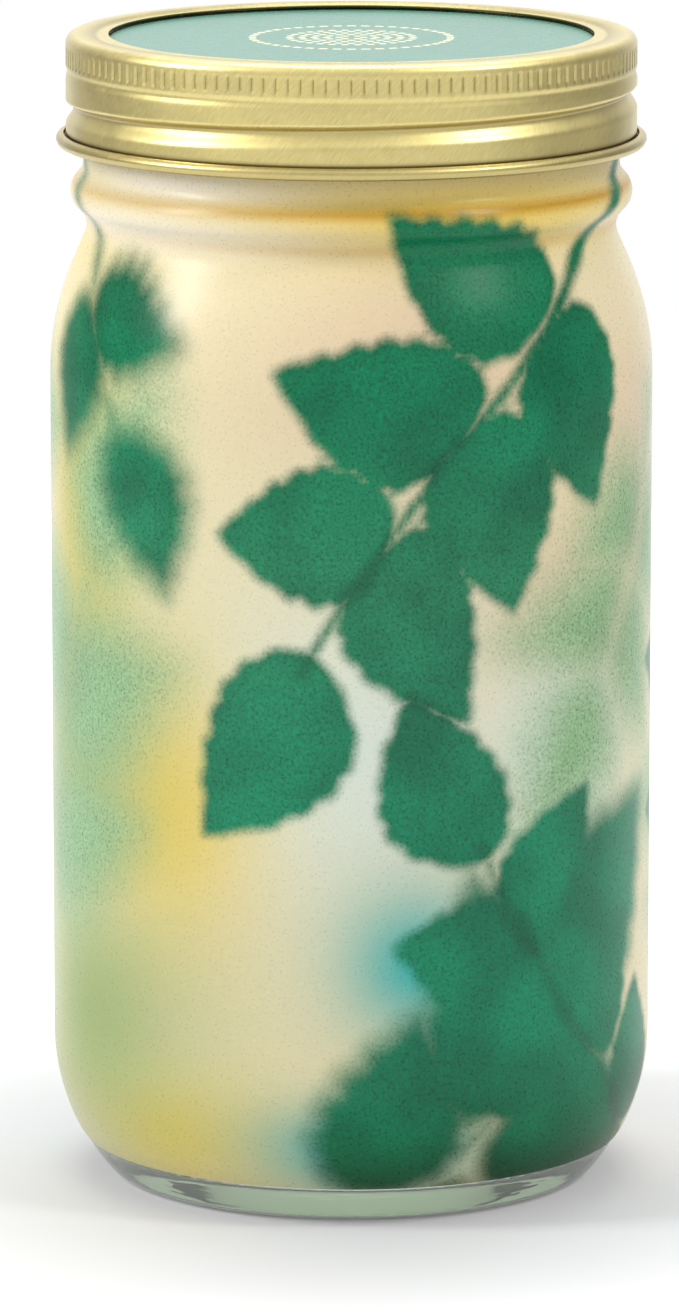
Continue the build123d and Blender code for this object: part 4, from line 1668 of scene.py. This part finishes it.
@dataclass
class CoirPlug:
    """Pressed coir plug with a pocket for the wick. Sizes in millimetres."""

    bottom: float = 117.35
    top: float = 140.35
    bottom_radius: float = 25.9
    top_radius: float = 30.3
    crown: float = 1.0
    rim: float = 1.2
    pocket: tuple[float, float, float] = (3.6, 15.6, 135.35)
    roughness: float = 0.35
    steps: int = 192
    wedges: int = 16
    fibre_count: int = 130
    fibre_radius: float = 0.11
    fibre_sides: int = 4
    fibre_joints: int = 6
    fibre_kinds: tuple[tuple[float, float], ...] = ((8.0, 1.3), (11.0, -1.8), (6.0, 0.6))

    def make_fibre(self, name: str, length: float, bend: float) -> bpy.types.Object:
        """Models one loose fibre that lies on its side and curls.

        Args:
            name: Name of the fibre.
            length: Its length.
            bend: How far its middle stands aside.

        Returns:
            The fibre along X, at the origin.
        """
        deselect_all()
        bpy.ops.mesh.primitive_circle_add(
            vertices=self.fibre_sides, radius=self.fibre_radius * MM, fill_type="NGON",
            rotation=(0, math.pi / 2, 0),
        )
        fibre = bpy.context.object
        fibre.name = fibre.data.name = name
        bpy.ops.object.transform_apply(rotation=True)
        edit_all()
        extrude_rows(self.fibre_joints, (length / self.fibre_joints * MM, 0, 0))
        points = read_points(fibre)
        along = points[:, 0] / length
        points[:, 1] += bend * np.sin(math.pi * along) + 0.3 * bend * np.sin(2.6 * math.pi * along)
        points[:, 0] -= length / 2
        write_points(fibre, points)
        return fibre

    def lay_fibres(self) -> list[bpy.types.Object]:
        """Strews loose fibres over the top of the plug.

        Returns:
            The fibres, each with its own mesh.
        """
        kinds = [
            self.make_fibre(f"coir_fibre_{index}", length, bend)
            for index, (length, bend) in enumerate(self.fibre_kinds)
        ]
        laid = []
        golden = math.pi * (3 - math.sqrt(5))
        for index in range(self.fibre_count):
            radius = (self.top_radius - 5.5) * math.sqrt((index + 0.5) / self.fibre_count)
            height = self.height_at(radius) + 0.02 + 0.05 * (index % 3)
            fibre = kinds[index % len(kinds)].copy()
            fibre.data = fibre.data.copy()
            turn = index * golden
            fibre.location = Vector((radius * math.cos(turn), radius * math.sin(turn), height)) * MM
            fibre.rotation_euler = (0.0, 0.0, index * 2.4 + 0.7 * math.sin(index))
            bpy.context.scene.collection.objects.link(fibre)
            laid.append(fibre)
        for kind in kinds:
            bpy.data.objects.remove(kind)
        return laid

    def height_at(self, radius: float) -> float:
        """Height of the crowned top at a radius, before it is roughened."""
        return self.top - self.crown * (radius / self.top_radius) ** 2

    def build(self) -> bpy.types.Object:
        """Spins the plug, roughs it, cuts its pocket and strews fibres on it.

        Returns:
            The finished plug.
        """
        shoulder = self.height_at(self.top_radius) - self.rim
        side = [(self.top_radius, shoulder), (self.bottom_radius, self.bottom)]
        radii = [self.top_radius * step / 8 for step in range(1, 8)]
        top = [(radius, self.height_at(radius)) for radius in radii]
        outline = spaced([(0.0, self.top), *top, *side, (0.0, self.bottom)], 0.9)
        plug = turned_piece("coir_plug", outline, self.steps, self.wedges)
        settle(plug, 180)
        points = read_points(plug)
        rough = rough_field(points, 2.2, 21.0) + 0.6 * rough_field(points, 0.9, 5.0)
        inward = self.roughness * (0.5 + 0.5 * np.clip(rough, -1, 1))
        radius = np.hypot(points[:, 0], points[:, 1])
        level = (self.top + self.bottom) / 2
        push_out(points, -inward, 5.0)
        points[:, 2] -= 0.8 * inward * np.sign(points[:, 2] - level) * (radius < self.top_radius - 1.0)
        write_points(plug, points)
        settle(plug, 180)
        width, depth, ceiling = self.pocket
        low = self.bottom - 2.0
        bpy.ops.mesh.primitive_cube_add(size=1, location=(0, 0, (low + ceiling) / 2 * MM))
        cutter = bpy.context.object
        cutter.scale = (width * MM, depth * MM, (ceiling - low) * MM)
        bpy.ops.object.transform_apply(location=True, rotation=False, scale=True)
        deselect_all()
        finish_modifier(plug, "BOOLEAN", operation="DIFFERENCE", solver="EXACT", object=cutter)
        bpy.data.objects.remove(cutter)
        join_pieces(plug, self.lay_fibres())
        bpy.ops.object.shade_smooth_by_angle(angle=math.radians(60))
        deselect_all()
        return plug


@dataclass
class Pouch:
    """Filled pouch: two sheets sealed together along a crimped border. Sizes in millimetres."""

    name: str
    size: Point
    low: float
    high: float
    lumps: float
    lump_size: float
    creases: float
    seed: float
    seam: float = 3.0
    seam_lines: int = 12
    seam_half: float = 0.22
    crimp: float = 0.12
    crimp_count: int = 3
    pitch: float = 0.6
    pull: float = 0.9
    crown: float = 2.6
    fullness: float = 0.55
    fold_sizes: Point = (7.0, 6.0)
    fold_stretch: float = 0.45
    fold_sharpness: float = 0.6
    wave: float = 0.25
    wave_sizes: Point = (5.0, 4.3)

    def lines(self, width: float) -> np.ndarray:
        """Places of the grid's lines across a width, close together on the seams."""
        inner = width / 2 - self.seam
        count = 2 * math.ceil(inner / self.pitch)
        middle = np.linspace(-inner, inner, count + 1)
        seam = np.linspace(inner, width / 2, self.seam_lines + 1)[1:]
        return np.concatenate([-seam[::-1], middle, seam])

    def build(self) -> bpy.types.Object:
        """Lays two grids, joins their rims, then swells, crimps and creases them.

        Returns:
            The finished pouch.
        """
        across, along = self.lines(self.size[0]), self.lines(self.size[1])
        middle = (self.low + self.high) / 2
        deselect_all()
        bpy.ops.mesh.primitive_grid_add(
            x_subdivisions=len(across) - 1, y_subdivisions=len(along) - 1, size=2, location=(0, 0, 0)
        )
        pouch = bpy.context.object
        pouch.name = pouch.data.name = self.name
        edit_all()
        bpy.ops.transform.translate(value=(0, 0, 1))
        bpy.ops.mesh.duplicate()
        bpy.ops.transform.translate(value=(0, 0, -2))
        bpy.ops.mesh.select_mode(type="EDGE")
        bpy.ops.mesh.select_all(action="DESELECT")
        bpy.ops.mesh.select_non_manifold()
        bpy.ops.mesh.bridge_edge_loops()
        bpy.ops.mesh.select_mode(type="VERT")
        bpy.ops.object.mode_set(mode="OBJECT")
        points = read_points(pouch) * MM
        column = np.rint((points[:, 0] + 1) / 2 * (len(across) - 1)).astype(int)
        row = np.rint((points[:, 1] + 1) / 2 * (len(along) - 1)).astype(int)
        x, y, side = across[column], along[row], np.sign(points[:, 2])
        inner_x, inner_y = self.size[0] / 2 - self.seam, self.size[1] / 2 - self.seam
        share_x, share_y = np.clip(np.abs(x) / inner_x, 0, 1), np.clip(np.abs(y) / inner_y, 0, 1)
        swell = ((1 - share_x**self.crown) * (1 - share_y**self.crown)) ** self.fullness
        flat = np.column_stack([x, y, 4.0 * side])
        lump = np.clip(rough_field(flat, self.lump_size, self.seed), -1, 1) * self.lumps * swell
        fold = np.zeros(len(points))
        stretches = ((1.0, self.fold_stretch, 1.0), (self.fold_stretch, 1.0, 1.0))
        for number, (stretch, size) in enumerate(zip(stretches, self.fold_sizes), 1):
            folds = rough_field(flat * stretch, size, self.seed + 4 * number)
            fold += np.abs(folds) ** self.fold_sharpness
        edge = np.maximum(share_x, share_y)
        crease = self.creases * (1 - np.clip(fold, 0, 1)) * smoothstep(swell, 0.02, 0.5)
        crease *= 0.4 + 0.6 * edge
        full = (self.high - self.low) / 2 - self.seam_half - self.lumps
        depth = self.seam_half + full * swell + lump - crease
        beyond_x, beyond_y = np.abs(x) - inner_x, np.abs(y) - inner_y
        beyond = np.maximum(beyond_x, beyond_y)
        ribs = self.crimp * np.sin(2 * math.pi * self.crimp_count * beyond / self.seam)
        ribs *= (beyond > 0) & (beyond < self.seam - 0.1)
        wave_y, wave_x = (np.sin(way / size + self.seed) for way, size in zip((y, x), self.wave_sizes))
        wave = self.wave * wave_y * smoothstep(beyond_x, -2.0, self.seam)
        wave += self.wave * wave_x * smoothstep(beyond_y, -2.0, self.seam)
        points[:, 0] = x * (1 - self.pull / self.size[0] * 2 * (1 - share_y**2))
        points[:, 1] = y * (1 - self.pull / self.size[1] * 2 * (1 - share_x**2))
        points[:, 2] = np.clip(middle + side * depth + ribs + wave, self.low, self.high)
        write_points(pouch, points)
        settle(pouch, 70)
        return pouch


@dataclass
class SeedPacket:
    """Small paper envelope with its flap folded down. Sizes in millimetres."""

    size: Point = (42.0, 52.0)
    low: float = 157.25
    body: float = 1.05
    flap_depth: float = 13.0
    flap_narrowing: float = 6.5
    flap_rows: int = 22
    paper: float = 0.18
    columns: int = 56

    def build(self) -> bpy.types.Object:
        """Makes the envelope and its flap and joins them.

        Returns:
            The finished packet.
        """
        envelope = Pouch(
            "seed_envelope", self.size, self.low, self.low + self.body, 0.05, 2.2, 0.03, 31.0,
            seam=1.6, seam_lines=3, seam_half=0.15, crimp=0.0, pitch=0.8, pull=0.0,
        ).build()
        deselect_all()
        bpy.ops.mesh.primitive_grid_add(
            x_subdivisions=self.columns, y_subdivisions=self.flap_rows, size=2, location=(0, 0, 0)
        )
        flap = bpy.context.object
        points = read_points(flap) * MM
        share = (1 - points[:, 1]) / 2
        edge = self.size[1] / 2
        root = self.low + self.body / 2
        wrap = np.clip(share / 0.12, 0, 1)
        lying = np.clip((share - 0.12) / 0.88, 0, 1)
        level = self.low + self.body + 0.14 + 0.16 * smoothstep(lying, 0.2, 1.0)
        points[:, 0] *= (self.size[0] / 2 - 0.1) - self.flap_narrowing * lying
        points[:, 1] = edge - 0.1 - 0.5 * (1 - np.cos(wrap * math.pi / 2)) - (self.flap_depth - 0.7) * lying
        points[:, 2] = root + (level - root) * np.sin(wrap * math.pi / 2)
        write_points(flap, points)
        finish_modifier(flap, "SOLIDIFY", thickness=self.paper * MM, offset=0.0)
        join_pieces(envelope, [flap])
        envelope.name = envelope.data.name = "seed_packet_paper"
        settle(envelope, 40)
        return envelope


@dataclass
class Booklet:
    """One printed sheet folded to and fro into leaves. Sizes in millimetres."""

    size: Point = (44.0, 50.0)
    low: float = 159.15
    high: float = 161.75
    leaves: int = 3
    paper: float = 0.3
    pitch: float = 1.6
    margin: float = 0.05
    setback: float = 0.3
    fold_sides: int = 10
    bow: float = 0.16

    def build(self) -> bpy.types.Object:
        """Draws the folded sheet's edge, draws it out across the jar and thickens it.

        Returns:
            The finished booklet.
        """
        rise = (self.high - self.low - self.paper - 2 * self.margin) / (self.leaves - 1)
        reach = self.size[0] / 2 - rise / 2 - self.paper / 2
        cut = self.size[0] / 2 - self.setback
        path: list[Point] = []
        for leaf in range(self.leaves):
            toward = -1 if leaf % 2 == 0 else 1
            height = self.low + self.paper / 2 + self.margin + leaf * rise
            start = -toward * (reach if leaf else cut)
            end = toward * (reach if leaf < self.leaves - 1 else cut)
            count = math.ceil(abs(end - start) / self.pitch)
            for step in range(count + 1):
                share = step / count
                bowed = self.bow * math.sin(math.pi * share) * (leaf - 1)
                path.append((start + (end - start) * share, height - bowed))
            if leaf < self.leaves - 1:
                sweep = -180 if toward < 0 else 180
                turn = arc((end, height + rise / 2), rise / 2, -90, sweep, self.fold_sides)
                path += turn[1:-1]
        rows = math.ceil(self.size[1] / self.pitch)
        front = -self.size[1] / 2 + self.margin
        sheet = drawn_line("growing_guide_sheet", [Vector((x, front, z)) for x, z in path])
        extrude_rows(rows, (0, (self.size[1] - 2 * self.margin) / rows * MM, 0))
        settle(sheet, 180)
        finish_modifier(sheet, "SOLIDIFY", thickness=self.paper * MM, offset=0.0)
        settle(sheet, 50)
        return sheet


@dataclass
class GrowingKit:
    """The net pot and all that it holds."""

    wick: Wick = field(default_factory=Wick)
    plug: CoirPlug = field(default_factory=CoirPlug)
    carbon: Pouch = field(
        default_factory=lambda: Pouch(
            "carbon_pouch_cloth", (40.0, 44.0), 140.65, 149.65, 0.32, 1.9, 0.35, 12.0
        )
    )
    food: Pouch = field(
        default_factory=lambda: Pouch(
            "plant_food_pouch_foil", (42.0, 46.0), 149.95, 156.95, 0.08, 6.0, 0.7, 17.0
        )
    )
    packet: SeedPacket = field(default_factory=SeedPacket)
    booklet: Booklet = field(default_factory=Booklet)

    def build(self) -> None:
        dress_node("net_pot", POT_PLASTIC.make())
        wick = self.wick.build()
        dress(wick, WICK_FELT.make(), "wick_felt", "jar", "felt_wick")
        plug = self.plug.build()
        dress(plug, COIR.make(), "coir", "jar", "grow_medium")
        carbon = self.carbon.build()
        dress(carbon, FILTER_CLOTH.make(), "filter_cloth", "jar", "carbon_pouch")
        food = self.food.build()
        dress(food, KRAFT_LAMINATE.make(), "kraft_foil", "jar", "plant_food_pouch")
        dress(self.packet.build(), SEED_PAPER.make(), "seed_paper", "jar", "seed_packet")
        dress(self.booklet.build(), GUIDE_PAPER.make(), "guide_paper", "jar", "guide_booklet")




@dataclass
class Studio:
    """Plain pale floor, soft lamps and the camera. Distances in metres."""

    camera_distance: float = 1.30111
    camera_height: float = 0.33064
    camera_pitch: float = 10.872
    camera_yaw: float = 0.0805
    focal_pixels: float = 8538.4
    frame_height: int = 1312
    sensor: float = 36.0
    floor_radius: float = 0.6
    floor_paint: float = 0.55
    floor_glow: float = 0.15
    under_glow: float = 0.5
    far_glow: float = 0.55
    mirrored_glow: float = 0.6
    foot_radius: float = 0.0355
    foot_blur: float = 0.004
    far_span: Point = (0.05, 0.15)
    world_level: float = 0.85
    side_level: float = 0.33
    # Bright panels of the mirrored room: axis, where one starts, where it is full, and its level.
    panels: tuple[tuple[str, float, float, float], ...] = (
        ("Y", 0.7, 0.95, 1.0),
        ("Y", -0.1, -0.7, 0.78),
        ("Z", 0.3, 0.8, 1.0),
    )
    # Each lamp: name, place, width and height, and power in watts.
    lamps: tuple[tuple[str, tuple[float, float, float], Point, float], ...] = (
        ("softbox_left", (-1.02, -0.26, 0.75), (0.26, 0.62), 8.0),
        ("softbox_right", (0.78, -0.4, 0.95), (0.2, 0.34), 3.8),
        ("softbox_back", (0.0, 0.45, 1.2), (0.9, 0.6), 7.0),
    )

    def make_camera(self) -> None:
        """Sets the camera at the photograph's angle, with no shift."""
        data = bpy.data.cameras.new("camera")
        data.sensor_width = self.sensor
        data.lens = self.focal_pixels / self.frame_height * self.sensor
        data.clip_end = 20.0
        camera = bpy.data.objects.new("camera", data)
        camera.location = (0.0, -self.camera_distance, self.camera_height)
        pitch, yaw = math.radians(90.0 - self.camera_pitch), math.radians(self.camera_yaw)
        camera.rotation_euler = (pitch, 0.0, yaw)
        bpy.context.scene.collection.objects.link(camera)
        bpy.context.scene.camera = camera

    def ray_kinds(self, tree: bpy.types.NodeTree) -> tuple[bpy.types.NodeSocket, bpy.types.NodeSocket]:
        """Sorts the rays that show the white background.

        Args:
            tree: Node tree of the floor or the world.

        Returns:
            1 for rays from the camera or through glass, and 1 for mirrored rays.
        """
        path = add_node(tree, "LightPath").outputs
        seen = add_node(
            tree, "Math", {0: path["Is Camera Ray"], 1: path["Is Transmission Ray"]}, operation="MAXIMUM"
        ).outputs[0]
        return seen, path["Is Glossy Ray"]

    def make_world(self) -> None:
        """Lights softly from all round, shows white to the camera, and has grey sides in reflections."""
        world = bpy.data.worlds.new("studio_white")
        world.use_nodes = True
        tree = world.node_tree
        way = add_node(tree, "SeparateXYZ", {"Vector": add_node(tree, "TexCoord").outputs["Generated"]})
        mirrored = self.side_level
        for axis, start, end, bright in self.panels:
            panel = add_node(
                tree, "MapRange",
                {"Value": way.outputs[axis], "From Min": start, "From Max": end,
                 "To Min": self.side_level, "To Max": bright},
                interpolation_type="SMOOTHSTEP",
            ).outputs["Result"]
            mirrored = add_node(tree, "Math", {0: mirrored, 1: panel}, operation="MAXIMUM").outputs[0]
        seen, glossy = self.ray_kinds(tree)
        level = add_node(
            tree, "Mix", {"Factor": glossy, "A": self.world_level, "B": mirrored}, data_type="FLOAT"
        ).outputs["Result"]
        level = add_node(
            tree, "Mix", {"Factor": seen, "A": level, "B": 1.0}, data_type="FLOAT"
        ).outputs["Result"]
        feed(tree, tree.nodes["Background"], {"Color": (1, 1, 1, 1), "Strength": level})
        bpy.context.scene.world = world

    def make_floor(self) -> None:
        """Lays a round pale floor that keeps the jar's shadow, glows brighter under the jar's foot, and
        turns white towards its rim.
        """
        deselect_all()
        bpy.ops.mesh.primitive_circle_add(
            vertices=96, radius=self.floor_radius, fill_type="NGON", location=(0, 0, -0.05 * MM)
        )
        floor = bpy.context.object
        floor.name = "studio_floor"
        material, tree, shader = new_material("matte_white_sweep")
        seen, glossy = self.ray_kinds(tree)
        seen = add_node(
            tree, "Math", {0: glossy, 1: self.mirrored_glow, 2: seen}, operation="MULTIPLY_ADD"
        ).outputs[0]
        place = add_node(tree, "TexCoord").outputs["Object"]
        radius = add_node(tree, "VectorMath", {0: place}, operation="LENGTH").outputs["Value"]
        # Painted light: under the jar's foot the floor glows at under_glow, brighter than just round the
        # foot, and this shows through the glass heel.
        near = add_node(
            tree, "MapRange",
            {"Value": radius, "From Min": self.foot_radius - self.foot_blur, "From Max": self.foot_radius,
             "To Min": self.under_glow, "To Max": self.floor_glow},
        ).outputs["Result"]
        start, end = self.far_span
        far = add_node(
            tree, "MapRange", {"Value": radius, "From Min": start, "From Max": end},
            interpolation_type="SMOOTHSTEP",
        ).outputs["Result"]
        glow = add_node(
            tree, "Mix", {"Factor": far, "A": near, "B": self.far_glow}, data_type="FLOAT"
        ).outputs["Result"]
        glow = add_node(tree, "Math", {0: seen, 1: glow}, operation="MULTIPLY").outputs[0]
        paint = (self.floor_paint, self.floor_paint, self.floor_paint, 1)
        feed(tree, shader, {
            "Base Color": paint, "Roughness": 0.9, "Specular IOR Level": 0.0,
            "Emission Color": (1, 1, 1, 1), "Emission Strength": glow,
        })
        floor.data.materials.append(material)

    def make_lamp(self, name: str, place: tuple[float, float, float], size: Point, power: float) -> None:
        """Hangs one soft box that faces the jar.

        Args:
            name: Name of the lamp.
            place: Where it hangs.
            size: Its width and height.
            power: Its power in watts.
        """
        data = bpy.data.lights.new(name, "AREA")
        data.shape = "RECTANGLE"
        data.size, data.size_y = size
        data.energy = power
        lamp = bpy.data.objects.new(name, data)
        lamp.location = place
        lamp.rotation_euler = (Vector((0, 0, 0.1)) - Vector(place)).to_track_quat("-Z", "Y").to_euler()
        bpy.context.scene.collection.objects.link(lamp)

    def build(self) -> None:
        """Makes the floor, the world, the lamps and the camera."""
        self.make_floor()
        self.make_world()
        for lamp in self.lamps:
            self.make_lamp(*lamp)
        self.make_camera()


def main() -> None:
    """Builds the planter in order and reports each piece."""
    logging.basicConfig(level=logging.INFO, format="%(message)s")
    Studio().build()
    jar = Jar()
    jar.build()
    FilmSleeve(jar).build()
    ScrewLid().build()
    GrowingKit().build()
    bpy.context.scene.view_settings.view_transform = "Standard"


if __name__ == "__main__":
    main()
